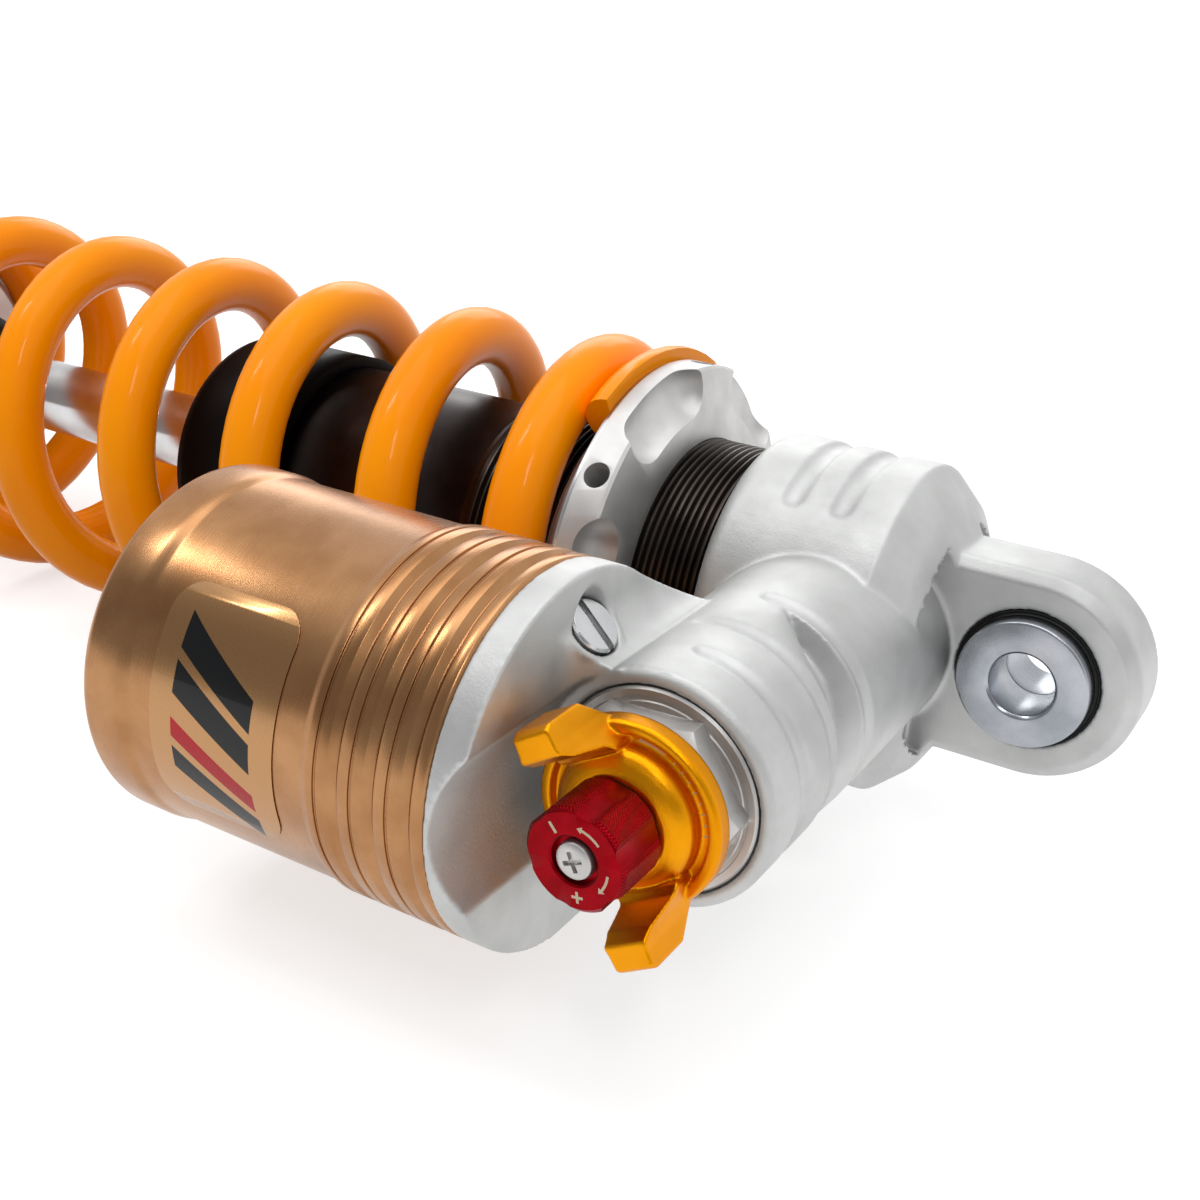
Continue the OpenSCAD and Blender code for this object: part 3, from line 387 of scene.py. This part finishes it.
finishes = {
    "cast": castFinish("beadBlastedAluminium", "#BDBEBD", "#CCCDCC", rough=0.56),
    "forged": castFinish("blastedForging", "#B4B6B7", "#C4C6C7", rough=0.52),
    "turnedX": turnedFinish("turnedAluminium", "#BFC0C2", "#D0D1D2", "X", (0, 0, 0)),
    "turnedY": turnedFinish("machinedAdjusterAluminium", "#BDBBB9", "#CFCDCB", "Y",
                            (adjuster["x"], 0, 0), rough=0.42),
    "body": turnedFinish("greyHardAnodised", "#2B2524", "#3A3230", "X", (0, 0, 0), rough=0.3,
                         depth=0.006),
    "thread": turnedFinish("blackAnodisedThread", "#3A3532", "#4A443F", "X", (0, 0, 0), rough=0.34),
    "gold": turnedFinish("bronzeGoldAnodised", "#A2744D", "#B3855C", "X", (0, reservoirAxis["y"], 0),
                         rough=0.25, groove=0.2, depth=0.012),
    "lever": castFinish("goldAnodisedLever", "#DE8C06", "#EB9C10", rough=0.36, grit=0.25),
    "red": knurlFinish("redAnodised", "#80060F", "#980A17", (adjuster["x"], 0, 0)),
    "brassDial": turnedFinish("turnedBrassDial", "#B9974C", "#CDAA5C", "Y", (-355, 0, 0), rough=0.3),
    "zinc": turnedFinish("zincPlatedSteel", "#989DA4", "#B3B5BB", "Y", (0, 0, 0), rough=0.26),
    "steel": castFinish("groundSteel", "#9A9C9E", "#B0B2B4", rough=0.26, grit=0.2),
    "chrome": turnedFinish("hardChrome", "#C2C3C5", "#D2D3D4", "X", (0, 0, 0), rough=0.14, depth=0.002),
    "spring": paintFinish("orangePowderCoat", "#FF9200", "#FF9A00"),
    "blackPaint": paintFinish("mattBlackPaint", "#060505", "#0B0A0A", rough=0.4, coat=0.05),
    "rubber": rubberFinish("nitrileRubber", "#0C0C0C", "#171717"),
    "foam": rubberFinish("cellularBumpRubber", "#141414", "#232323", rough=0.8, grain=1.2),
    "fibre": rubberFinish("brownFibreWasher", "#2A1A12", "#3C2619", rough=0.6),
    "bronze": turnedFinish("bearingBronze", "#9C7A45", "#B08B52", "X", (0, 0, 0), rough=0.35),
    "brass": turnedFinish("turnedBrass", "#B9974C", "#CDAA5C", "X", (0, reservoirAxis["y"], 0)),
    "collar": turnedFinish("satinCollarAluminium", "#C6C5C4", "#D6D5D4", "X", (0, 0, 0), rough=0.52),
    "mark": rubberFinish("paleEngravedMark", "#CDB79A", "#DCC9B0", rough=0.5),
    "label": labelFinish("clearLabelFilm", "#B28559", "#0D0E10", "#C00A18"),
}
print("finishes made:", len(finishes))


def blendForms(obj, sizes):
    # one even skin over joined forms, with its inner corners smoothed as a casting's are
    modify(obj, "REMESH", mode="VOXEL", voxel_size=sizes["voxel"] * mm, adaptivity=0.0)
    modify(obj, "SMOOTH", factor=0.5, iterations=sizes["rounds"])
    share = sizes["triangles"] / sum(len(p.vertices) - 2 for p in obj.data.polygons)
    if share < 1:
        modify(obj, "DECIMATE", ratio=share)
    return soften(obj, 0, limit=80)


# Head casting
head = {"voxel": 0.45, "rounds": 7, "triangles": 185000}
casting = blendForms(copyOf("head", "headCasting"), head)
fit(casting, finishes["cast"], "damper_body", "head", "head")
print("head casting made:", len(casting.data.polygons), "faces")


# Spring, wound from one wire
spring = {
    "outer": 44.0, "wire": 6.25, "top": -82.6, "length": 234.4, "ground": -0.2, "tip": 118.0,
    "closedTurn": 230.0, "ramp": 300.0, "closedPitch": 11.11, "pitch": 35.9, "sides": 24, "perTurn": 60,
}


def springTravel(turn, total, travel):
    # way along the axis after turn degrees of wire, alike from both ends
    if turn > total / 2:
        return travel - springTravel(total - turn, total, travel)
    closed, ramp = spring["closedTurn"], spring["ramp"]
    low, high = spring["closedPitch"] / 360, spring["pitch"] / 360
    if turn < closed:
        return turn * low
    if turn < closed + ramp:
        return turn * low + (turn - closed) ** 2 * (high - low) / (2 * ramp)
    return (closed + ramp) * low + ramp * (high - low) / 2 + (turn - closed - ramp) * high


def makeSpring():
    s = spring
    travel = s["length"] - 2 * s["ground"]
    ends = (s["closedTurn"] * s["closedPitch"] / 360
            + s["ramp"] * (s["closedPitch"] + s["pitch"]) / 720)
    total = (travel - 2 * ends) / s["pitch"] * 360 + 2 * (s["closedTurn"] + s["ramp"])
    middle = s["outer"] - s["wire"]
    lowest, highest = s["top"] - s["length"] + 0.01, s["top"] - 0.01

    def wirePoint(way, side):
        a = 2 * math.pi * side
        angle = math.radians(s["tip"] - total * way)
        r = middle + s["wire"] * math.cos(a)
        x = s["top"] - s["ground"] - springTravel(total * way, total, travel) + s["wire"] * math.sin(a)
        return min(max(x, lowest), highest), r * math.cos(angle), r * math.sin(angle)

    steps = round(total / 360 * s["perTurn"])
    return soften(swept("coilSpring", s["sides"], steps, wirePoint), 0, limit=40)


coil = makeSpring()
fit(coil, finishes["spring"], "damper_body", "spring", "spring")
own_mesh(coil)
print("spring wound:", len(coil.data.polygons), "faces")


# Damper body: turned core with a wound thread, and its black end cap
body = {"bore": 23.0, "root": 26.5, "crest": 27.35, "pitch": 1.5, "threadTop": -57.0, "turns": 36,
        "plain": 25.4, "top": -30.0, "end": -188.7, "cap": 27.8, "capTop": -161.7, "tail": -191.7}


def threadPoint(way, side):
    # a ridge with sloping flanks and a narrow crest
    out, along = ((-0.2, -0.7), (-0.2, 0.7), (body["crest"] - body["root"], 0.16),
                  (body["crest"] - body["root"], -0.16))[round(side * 4) % 4]
    angle = 2 * math.pi * body["turns"] * way
    x = body["threadTop"] - body["pitch"] * body["turns"] * way + along
    return x, (body["root"] + out) * math.cos(angle), (body["root"] + out) * math.sin(angle)


core = turned("bodyCore", [
    (body["bore"], body["top"]), (body["root"], body["top"]), (body["root"], -111.9), (body["plain"], -113.7),
    (body["plain"], body["end"]), (body["bore"], body["end"])], edge=0.25)
fit(core, finishes["body"], "damper_body", "body", "body_tube")
ridge = soften(swept("bodyThread", 4, body["turns"] * 72, threadPoint), 0, limit=30)
fit(ridge, finishes["thread"], "damper_body", "body")
capEnd = turned("bodyEndCap", [(body["plain"] + 0.03, body["capTop"]), (body["cap"], body["capTop"])] + [
    (r, a) for r, a in arc(4, 0, -90, 9, (body["cap"] - 4, body["tail"] + 4))] + [
    (13.05, body["tail"]), (13.05, body["end"] - 0.03), (body["plain"] + 0.03, body["end"] - 0.03)],
    edge=0.25)
fit(capEnd, finishes["blackPaint"], "damper_body", "black_cap", "body_end_cap")
print("damper body turned:", len(core.data.polygons) + len(ridge.data.polygons), "faces")


# Reservoir: turned tube, end cap, gas valve and its cap
tank = {"outer": 31.9, "barrel": 31.2, "bore": 29.4, "near": -56.0, "far": -126.2, "round": 2.0,
        "firstRib": -59.3, "ribStep": 6.8, "half": 1.15, "deep": 1.25, "lineHalf": 0.33, "lineDeep": 0.38}


def reservoirProfile():
    t = tank
    points = [(t["bore"], t["near"] - 0.03), (t["outer"] - 0.45, t["near"] - 0.03),
              (t["outer"], t["near"] - 0.6)]
    for i in range(3):
        x = t["firstRib"] - i * t["ribStep"]
        points += [(t["outer"], x + t["half"]), (t["outer"] - t["deep"], x + 0.12),
                   (t["outer"] - t["deep"], x - 0.12), (t["outer"], x - t["half"])]
        line = x - t["ribStep"] / 2
        points += [(t["outer"], line + t["lineHalf"]), (t["outer"] - t["lineDeep"], line + 0.2),
                   (t["outer"] - t["lineDeep"], line - 0.2), (t["outer"], line - t["lineHalf"])]
    points += [(t["outer"], -77.6), (31.72, -78.3), (31.4, -78.9), (t["barrel"], -79.5),
               (t["barrel"], -115.4), (31.3, -116.0), (31.55, -116.7), (31.78, -117.6), (t["outer"], -118.4)]
    points += arc(t["round"], 0, -90, 7, (t["outer"] - t["round"], t["far"] + t["round"]))
    points += [(t["bore"], t["far"]), (t["bore"], -125.05), (t["bore"] + 0.8, -125.05),
               (t["bore"] + 0.8, -123.75), (t["bore"], -123.75)]
    return points


reservoir = turned("reservoirTube", reservoirProfile(), at=(0, reservoirAxis["y"], 0), steps=160,
                   edge=0.07, segments=1)
fit(reservoir, finishes["gold"], "damper_body", "reservoir", "reservoir_tube")
endCap = turned("reservoirEndCap", [
    (4.04, -117.8), (29.37, -117.8), (29.37, -123.8), (23.8, -123.8), (23.0, -122.3), (8.4, -122.3),
    (7.6, -123.8), (4.04, -123.8)], at=(0, reservoirAxis["y"], 0), edge=0.25)
fit(endCap, finishes["gold"], "damper_body", "reservoir", "reservoir_end_cap")
valve = turned("gasValve", [
    (0, -117.85), (4, -117.85), (4, -123.85), (6.4, -123.85), (6.4, -125.2), (3.4, -125.2), (3.4, -125.4),
    (0, -125.4)], at=(0, reservoirAxis["y"], 0), edge=0.15)
fit(valve, finishes["brass"], "damper_body", "brass", "gas_valve")
valveCap = turned("gasValveCap", [(0, -125.46), (3.5, -125.46), (3.5, -125.9), (3.2, -126.15), (0, -126.15)],
                  at=(0, reservoirAxis["y"], 0), edge=0.08)
fit(valveCap, finishes["rubber"], "damper_body", "plastic", "gas_valve_cap")
print("reservoir turned:", len(reservoir.data.polygons), "faces")


# Label: a thin shell of the tube's skin, cut to a rounded rectangle
label = {"r": 31.24, "thick": 0.13, "near": -85.0, "far": -110.8, "angle": 169.5, "sweep": 75.0,
         "round": 5.0}


def roundedBox(low, high, r, count=8):
    # outline of a rectangle with round corners
    return (arc(r, 0, 90, count, (high[0] - r, high[1] - r))
            + arc(r, 90, 180, count, (low[0] + r, high[1] - r))
            + arc(r, 180, 270, count, (low[0] + r, low[1] + r))
            + arc(r, 270, 360, count, (high[0] - r, low[1] + r)))


def makeLabel():
    s = label
    shell = turned("reservoirLabel", [
        (s["r"], s["far"] - 2), (s["r"] + s["thick"], s["far"] - 2), (s["r"] + s["thick"], s["near"] + 2),
        (s["r"], s["near"] + 2)], steps=240, edge=0)
    reach = s["r"] * math.sin(math.radians(s["sweep"] / 2))
    cutter = slab("labelCutter", roundedBox((s["far"], -reach), (s["near"], reach), s["round"]), 30)
    place(cutter, at=(0, 0, 10))
    # the outline faced +Z; the label faces its own angle about X
    place(cutter, (s["angle"] - 90, 0, 0))
    combine(shell, cutter, "INTERSECT")
    place(shell, at=(0, reservoirAxis["y"], 0))
    return soften(shell, 0.04, 1)


sticker = makeLabel()
fit(sticker, finishes["label"], "damper_body", "label", "reservoir_label")
print("label cut:", len(sticker.data.polygons), "faces")


# Slotted plug in the saddle
def makePlug():
    made = turned("bleedPlug", [(0, -6.96), (4.72, -6.96), (4.72, -0.5), (4.3, -0.05), (0, -0.05)], axis="Z",
                  steps=72, edge=0)
    combine(made, block("plugSlot", (12, 1.5, 2.4), (0, 0, 0)))
    place(made, (0, 45, 0), (-49.2, -77.3, 23))
    return soften(made, 0.12)


plug = makePlug()
fit(plug, finishes["turnedX"], "damper_body", "machined", "bleed_plug")


# Compression adjuster: cartridge with flange and hexagon
def makeCartridge():
    made = turned("adjusterCartridge", [
        (6.06, -81.0), (6.06, -60), (13, -60), (13, -34), (15.88, -34), (15.88, -73.05), (14.05, -73.05),
        (14.05, -74.95), (15.88, -74.95), (15.88, -79.2), (17.4, -79.2), (17.4, -80.75), (17.0, -81.15),
        (15.9, -81.15), (15.7, -80.95), (15.2, -80.95), (15.0, -81.15), (14.0, -81.15)],
        axis="Y", at=(adjuster["x"], 0, 0), edge=0)
    corners = [math.radians(3 + 60 * i) for i in range(6)]
    sides = slab("hexagonSides", [(16 * math.cos(a), 16 * math.sin(a)) for a in corners], 5.2)
    place(sides, (90, 0, 0), (adjuster["x"], -80.5, 0))
    chamfer = turned("hexagonChamfer", [
        (6.06, -79), (17.5, -79), (17.5, -83.1), (14.4, -85.69), (6.06, -85.69)],
        axis="Y", at=(adjuster["x"], 0, 0), edge=0)
    combine(sides, chamfer, "INTERSECT")
    combine(made, sides, "UNION")
    return soften(made, 0.14)


cartridge = makeCartridge()
fit(cartridge, finishes["turnedY"], "damper_body", "machined", "adjuster_body")
washer = turned("adjusterWasher", [(6.4, -85.76), (14.8, -85.76), (14.8, -86.04), (6.4, -86.04)], axis="Y",
                at=(adjuster["x"], 0, 0), edge=0.06, segments=1)
fit(washer, finishes["fibre"], "damper_body", "washer", "adjuster_washer")
print("adjuster made:", len(cartridge.data.polygons), "faces")


# High-speed lever: hub ring and rim on a disc, with two raised wings
lever = {"turn": 121.0, "voxel": 0.24, "rounds": 2, "triangles": 150000, "back": -86.1, "face": -89.9,
         "floor": -88.4, "disc": 15.6, "markR": 12.62}


def makeWing(turn):
    side = slab("wingSide", [
        (10.6, -86.4), (14.2, -86.4), (15.4, -87.9), (19.5, -93.3), (19.5, -100.9), (18.7, -102.25),
        (14.7, -102.25), (13.4, -99.6), (12.0, -93.4), (10.6, -92.2)], 12)
    place(side, at=(0, 0, -6))
    flank = [(8, 6.0), (11.6, 5.6), (12.8, 4.75), (14.2, 4.05), (16.2, 3.6), (20.2, 3.35)]
    plan = slab("wingPlan", flank + [(x, -w) for x, w in reversed(flank)], 24)
    place(plan, (90, 0, 0), (0, -82, 0))
    combine(side, plan, "INTERSECT")
    modify(side, "BEVEL", width=0.45 * mm, segments=3, limit_method="ANGLE", angle_limit=math.radians(30))
    return place(side, (0, -turn, 0), (adjuster["x"], 0, 0))


def makeLever():
    v = lever
    disc = turned("speedLever", [
        (3.06, -63.1), (5.98, -63.1), (5.98, v["back"]), (15.2, v["back"]), (v["disc"], -86.5),
        (v["disc"], -89.1), (15.1, -89.75), (14.3, v["face"]), (13.75, -89.75), (13.45, -89.3),
        (13.35, v["floor"]), (11.9, v["floor"]), (11.8, -89.9), (11.55, -90.8), (11.1, -91.5),
        (10.3, -92.2), (9.3, -92.8), (8.3, -93.15), (3.06, -93.2)], axis="Y", at=(adjuster["x"], 0, 0), edge=0)
    for turn in (v["turn"], v["turn"] + 180):
        combine(disc, makeWing(turn), "UNION")
    return blendForms(disc, v)


def arrowShape(r, start, stop, width):
    # curved arrow between two angles, its head over the last part
    neck = stop - (stop - start) * min(1.9 * width / (r * math.radians(abs(stop - start))), 0.6)
    barb = width * 1.45
    tip = [(way * math.cos(math.radians(angle)), way * math.sin(math.radians(angle)))
           for way, angle in ((r + barb, neck), (r, stop), (r - barb, neck))]
    return arc(r + width / 2, start, neck, 9) + tip + arc(r - width / 2, neck, start, 9)


def markOn(name, outline, level, thick=0.09):
    # a thin inlay facing -Y on the adjuster's axis
    made = slab(name, outline, thick)
    return place(made, (90, 0, 0), (adjuster["x"], level, 0))


def roundAxis(r, angle, corners):
    # corners of (outward, sideways) points, moved out to r and turned round the axis
    c, s = math.cos(math.radians(angle)), math.sin(math.radians(angle))
    return [((r + a) * c - b * s, (r + a) * s + b * c) for a, b in corners]


def tickShape(r, angle, half, length):
    return roundAxis(r, angle, ((-half, -length), (half, -length), (half, length), (-half, length)))


def plusShape(r, angle, reach, half):
    return roundAxis(r, angle, (
        (reach, -half), (reach, half), (half, half), (half, reach), (-half, reach), (-half, half),
        (-reach, half), (-reach, -half), (-half, -half), (-half, -reach), (half, -reach), (half, -half)))


speedLever = makeLever()
fit(speedLever, finishes["lever"], "compression_lever", "lever", "high_speed_lever")
leverMarks = markOn("leverMarks", arrowShape(lever["markR"], 66, 88, 0.3), lever["floor"] + 0.03)
for angle in (58, 50, 42, 34, 26, 18, 10, 2):
    # every other tick is longer
    tick = tickShape(lever["markR"], angle, 0.38 if angle % 16 == 2 else 0.24, 0.13)
    join(leverMarks, markOn("leverTick", tick, lever["floor"] + 0.03))
fit(soften(leverMarks, 0.02, 1), finishes["mark"], "compression_lever", "lever")
print("lever made:", len(speedLever.data.polygons), "faces")


# Low-speed knob with six scallops, a sunk face and plain marks, and its screw
knob = {"r": 8.4, "back": -93.5, "face": -104.5, "scallops": 6, "scallopR": 5.0, "scallopDeep": 0.9}


def makeKnob():
    k = knob
    made = turned("speedKnob", [
        (1.62, -103.1), (3.9, -103.1), (3.9, -104.2), (4.2, k["face"]), (7.7, k["face"]), (k["r"], -103.8),
        (k["r"], -94.3), (7.6, k["back"]), (2.98, k["back"]), (2.98, -72.1), (1.62, -72.1)], axis="Y",
        at=(adjuster["x"], 0, 0), steps=144, edge=0)
    middle = k["r"] + k["scallopR"] - k["scallopDeep"]
    for i in range(k["scallops"]):
        a = math.radians(360 / k["scallops"] * i + 20)
        at = (adjuster["x"] + middle * math.cos(a), -99, middle * math.sin(a))
        combine(made, rodTool("scallop", k["scallopR"], 14, at, (90, 0, 0)))
    return soften(made, 0.16)


def makeScrew():
    made = turned("knobScrew", [
        (0, -97), (1.55, -97), (1.55, -103.08), (3.1, -103.12), (3.1, -104.0), (2.9, -104.5), (2.3, -104.85),
        (0, -104.9)], axis="Y", at=(adjuster["x"], 0, 0), steps=72, edge=0)
    for turn in (25, 115):
        cut = block("screwSlot", (3.3, 1.6, 0.75), (0, -104.9, 0))
        place(cut, (0, -turn, 0), (adjuster["x"], 0, 0))
        combine(made, cut)
    return soften(made, 0.08)


speedKnob = makeKnob()
fit(speedKnob, finishes["red"], "compression_knob", "knob", "low_speed_knob")
knobMarks = markOn("knobMarks", tickShape(5.7, 130, 0.95, 0.24), knob["face"] + 0.03)
for outline in (plusShape(5.8, -81, 0.95, 0.22),
                arrowShape(5.6, 44.5, 87, 0.42), arrowShape(5.7, -3.4, -40, 0.42)):
    join(knobMarks, markOn("knobMark", outline, knob["face"] + 0.03))
fit(soften(knobMarks, 0.02, 1), finishes["mark"], "compression_knob", "knob")
screw = makeScrew()
fit(screw, finishes["turnedY"], "compression_knob", "steel", "knob_screw")
print("knob made:", len(speedKnob.data.polygons), "faces")


# Preload collar: six bean pockets in the front edge, spanner holes through to the thread
collar = {"thread": 27.45, "top": -72.4, "rimTop": -74.4, "rim": 41.6, "under": -81.4, "spigot": 30.9,
          "spigotEnd": -90.4, "pocketAxis": 39.2, "pocketR": 6.2, "pocketHalf": 11.5, "pocketFirst": 108.0,
          "pocketX": -72.2, "hole": 2.6, "lockHole": 2.53, "holeX": -77.9}


def pocketTool(centre):
    # a bean: an arc of round section with round ends
    c = collar

    def point(way, side):
        part = way * 3
        swell = math.radians(86) * (part - 1 if part < 1 else part - 2 if part > 2 else 0)
        turn = centre + c["pocketHalf"] * (-1 if part < 1 else 1 if part > 2 else 2 * part - 3)
        a = math.radians(turn)
        section = c["pocketR"] * math.cos(swell)
        out = c["pocketAxis"] + section * math.cos(2 * math.pi * side)
        ahead = c["pocketR"] * math.sin(swell)
        return (c["pocketX"] + section * math.sin(2 * math.pi * side),
                out * math.cos(a) - ahead * math.sin(a), out * math.sin(a) + ahead * math.cos(a))

    return swept("pocketTool", 32, 30, point)


def makeCollar():
    c = collar
    made = turned("preloadCollar", [
        (c["thread"], c["top"]), (29.4, c["top"]), (c["rim"] - 0.5, c["rimTop"] + 0.08),
        (c["rim"], c["rimTop"] - 0.5), (c["rim"], c["under"]), (c["spigot"], c["under"]),
        (c["spigot"], c["spigotEnd"] + 1.5), (c["spigot"] - 1.5, c["spigotEnd"]),
        (c["thread"], c["spigotEnd"])], steps=168, edge=0)
    for i in range(6):
        combine(made, pocketTool(c["pocketFirst"] + 60 * i))
        a = c["pocketFirst"] + 60 * i + 30
        # the last hole holds the lock screw
        bore = c["hole"] if i < 5 else c["lockHole"]
        hole = rodTool("spannerHole", bore, 14, (c["holeX"], 36.4, 0), (90, 0, 0))
        place(hole, (a, 0, 0))
        combine(made, hole)
    return soften(made, 0.3, 3)


preload = makeCollar()
fit(preload, finishes["collar"], "collar", "collar", "preload_collar")
thrust = turned("thrustWasher", [(31.7, -81.42), (41.0, -81.42), (41.0, -82.58), (31.7, -82.58)], steps=144,
                edge=0.2)
fit(thrust, finishes["turnedX"], "spring_washer", "steel", "thrust_washer")
print("collar made:", len(preload.data.polygons), "faces")


# Upper eye: two flanged spacers and the lip seals round them
eye = {"bolt": 6.0, "spigot": 7.97, "flange": 12.1, "inner": 6.2, "outer": 10.95, "bore": 13.17}


def bothSides(name, profile, **settings):
    # a profile of (radius, y) turned on the eye's axis, and its mirror image
    first = turned(name, profile, axis="Y", **settings)
    second = turned(name + "Far", [(r, -y) for r, y in profile], axis="Y", **settings)
    return join(first, second)


spacers = bothSides("eyeSpacers", [
    (eye["bolt"], 0.12), (eye["spigot"], 0.12), (eye["spigot"], eye["inner"]),
    (eye["flange"], eye["inner"]), (eye["flange"], 10.45), (11.95, 10.8), (11.6, eye["outer"]),
    (6.6, eye["outer"]), (eye["bolt"], 10.4)], edge=0.12)
fit(spacers, finishes["zinc"], "upper_bush", "zinc", "eye_spacers")
seals = bothSides("eyeSeals", [
    (12.16, 6.25), (eye["bore"], 6.25), (eye["bore"], 7.3), (12.95, 7.55), (12.7, 7.3), (12.45, 7.3),
    (12.3, 7.6), (12.16, 7.6)], edge=0.05, segments=1)
fit(seals, finishes["rubber"], "damper_body", "rubber", "eye_seals")


# Bump stop, lower seat, clevis and rebound dial
bump = turned("bumpStop", [
    (9.1, -307), (16.6, -307), (17, -306.4), (17, -302.4), (16.3, -301.1), (15.6, -299.6), (15.6, -298.4),
    (16.3, -296.9), (17, -295.6), (17, -292.6), (16.4, -290), (15.2, -288), (14, -287), (9.1, -287)])
fit(bump, finishes["foam"], "rod_assembly", "bump", "bump_stop")
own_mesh(bump)
lowerSeat = turned("lowerSeat", [
    (9.35, -307.02), (28.5, -307.02), (30.88, -309.4), (30.88, -317.02), (42.9, -317.02), (43.4, -317.5),
    (43.4, -321), (39.4, -324), (14.05, -324), (14.05, -310.02), (9.35, -310.02)], steps=144, edge=0.4)
fit(lowerSeat, finishes["collar"], "rod_assembly", "seat", "lower_seat")
fork = soften(copyOf("clevis", "lowerClevis"), 0.5, 2, 35)
fit(fork, finishes["forged"], "rod_assembly", "clevis", "clevis")
dial = soften(copyOf("rebound_dial", "reboundDial"), 0.15, 2, 35)
fit(dial, finishes["brassDial"], "rebound_screw", "brass", "rebound_dial")
print("lower end made:", len(lowerSeat.data.polygons) + len(fork.data.polygons), "faces")

# Plain solids keep their shape and get their finish
dressed = {
    "seal_head": "turnedX", "rod_bush": "bronze", "oil_seal": "rubber", "dust_wiper": "rubber",
    "reservoir_clip": "steel", "adjuster_oring": "rubber", "compression_piston": "turnedY",
    "compression_shims": "steel", "eye_race": "steel", "eye_clips": "steel", "eye_ball": "steel",
    "collar_lock_screw": "steel", "low_speed_needle": "steel", "floating_piston": "turnedX",
    "floating_piston_ring": "rubber", "rod": "chrome", "piston": "turnedX", "piston_band": "bronze",
    "piston_shims": "steel", "piston_nut": "steel", "topout_spacer": "turnedX", "seat_clip": "steel",
    "rebound_rod": "turnedX",
}
for node, finish in dressed.items():
    nodes[node].data.materials.clear()
    nodes[node].data.materials.append(finishes[finish])
print("solids dressed:", len(dressed))


# Floor, light and camera
studio = {"floor": -46.0, "world": 0.62, "front": 0.32, "glowNear": 0.66, "glowFar": 0.88}
# Fit of the camera to the photograph: focal length and width in its pixels, film width in millimetres
photo = {"focal": 1568.2407, "width": 1200, "film": 36}


def seenRays(tree):
    # the kinds of ray, and 1 for those that show the background: straight, reflected or let through
    rays = addNode(tree, "LightPath").outputs
    either = calc(tree, "MAXIMUM", rays["Is Camera Ray"], rays["Is Transmission Ray"])
    return rays, calc(tree, "MAXIMUM", either, rays["Is Glossy Ray"])


def studioFloor():
    bpy.ops.object.select_all(action="DESELECT")
    bpy.ops.mesh.primitive_plane_add(size=12, location=(0, 0, studio["floor"] * mm))
    floor = bpy.context.active_object
    floor.name = "studioFloor"
    made = bpy.data.materials.new("paleStudioFloor")
    made.use_nodes = True
    tree = made.node_tree
    shader = tree.nodes["Principled BSDF"]
    shader.inputs["Base Color"].default_value = linear("#BCBCBC")
    shader.inputs["Roughness"].default_value = 0.9
    shader.inputs["Specular IOR Level"].default_value = 0.0
    shader.inputs["Emission Color"].default_value = linear("#FFFFFF")
    seen = seenRays(tree)[1]
    # the far floor gets less lamp light, so it glows a little more
    place = addNode(tree, "TexCoord").outputs["Object"]
    away = addNode(tree, "VectorMath", {"Vector": place}, operation="LENGTH")
    glow = addNode(tree, "MapRange", {"Value": away.outputs["Value"], "From Min": 0.25, "From Max": 1.6,
                                      "To Min": studio["glowNear"], "To Max": studio["glowFar"]}).outputs[0]
    tree.links.new(calc(tree, "MULTIPLY", seen, glow), shader.inputs["Emission Strength"])
    floor.data.materials.append(made)


def studioWorld():
    # white all round, dimmer in front, where the photographer's dark side of the room is
    world = bpy.data.worlds.new("studioWorld")
    bpy.context.scene.world = world
    world.use_nodes = True
    tree = world.node_tree
    back = tree.nodes["Background"]
    back.inputs["Color"].default_value = linear("#FFFFFF")
    rays, seen = seenRays(tree)
    level = addNode(tree, "MapRange", {"Value": seen, "To Min": studio["world"], "To Max": 1.0}).outputs[0]
    way = addNode(tree, "SeparateXYZ", {"Vector": addNode(tree, "TexCoord").outputs["Generated"]}).outputs[1]
    fade = addNode(tree, "MapRange", {"Value": way, "From Min": -0.5, "From Max": 0.1,
                                      "To Min": studio["front"], "To Max": 1.0}).outputs[0]
    # only reflections see the dimmer front
    fade = addNode(tree, "Mix", {0: rays["Is Glossy Ray"], 2: 1.0, 3: fade}, data_type="FLOAT").outputs[0]
    tree.links.new(calc(tree, "MULTIPLY", level, fade), back.inputs["Strength"])


def areaLamp(name, at, aim, size, watts):
    bpy.ops.object.select_all(action="DESELECT")
    bpy.ops.object.light_add(type="AREA", location=at)
    lamp = bpy.context.active_object
    lamp.name = name
    lamp.data.shape = "RECTANGLE"
    lamp.data.size, lamp.data.size_y = size
    lamp.data.energy = watts
    lamp.rotation_euler = (Vector(aim) - Vector(at)).to_track_quat("-Z", "Y").to_euler()


def photoCamera():
    # pinhole camera fitted to the photograph
    right = Vector((0.851828, 0.521741, 0.046632))
    down = Vector((0.248665, -0.324417, -0.912644))
    ahead = Vector((-0.461036, 0.789012, -0.406086))
    turn = Matrix((right, -down, -ahead)).transposed()
    bpy.ops.object.camera_add(location=(0.0611576, -0.2653367, 0.1238795), rotation=turn.to_euler())
    camera = bpy.context.active_object
    camera.data.sensor_width = photo["film"]
    camera.data.lens = photo["film"] * photo["focal"] / photo["width"]
    camera.data.clip_start = 0.01
    bpy.context.scene.camera = camera


studioFloor()
studioWorld()
areaLamp("overheadSoftbox", (-0.1, -0.05, 1.2), (-0.08, 0, 0), (1.0, 0.8), 4.2)
areaLamp("backSoftbox", (-0.55, 1.0, 0.5), (-0.08, 0, 0), (0.8, 0.5), 3)
areaLamp("leftStrip", (-0.7, -0.35, 1.0), (-0.1, 0, 0), (0.12, 0.3), 2.2)
areaLamp("rightStrip", (0.4, -0.6, 0.9), (-0.08, 0, 0), (0.12, 0.3), 1.8)
photoCamera()
bpy.context.scene.view_settings.view_transform = "Standard"
print("studio ready")
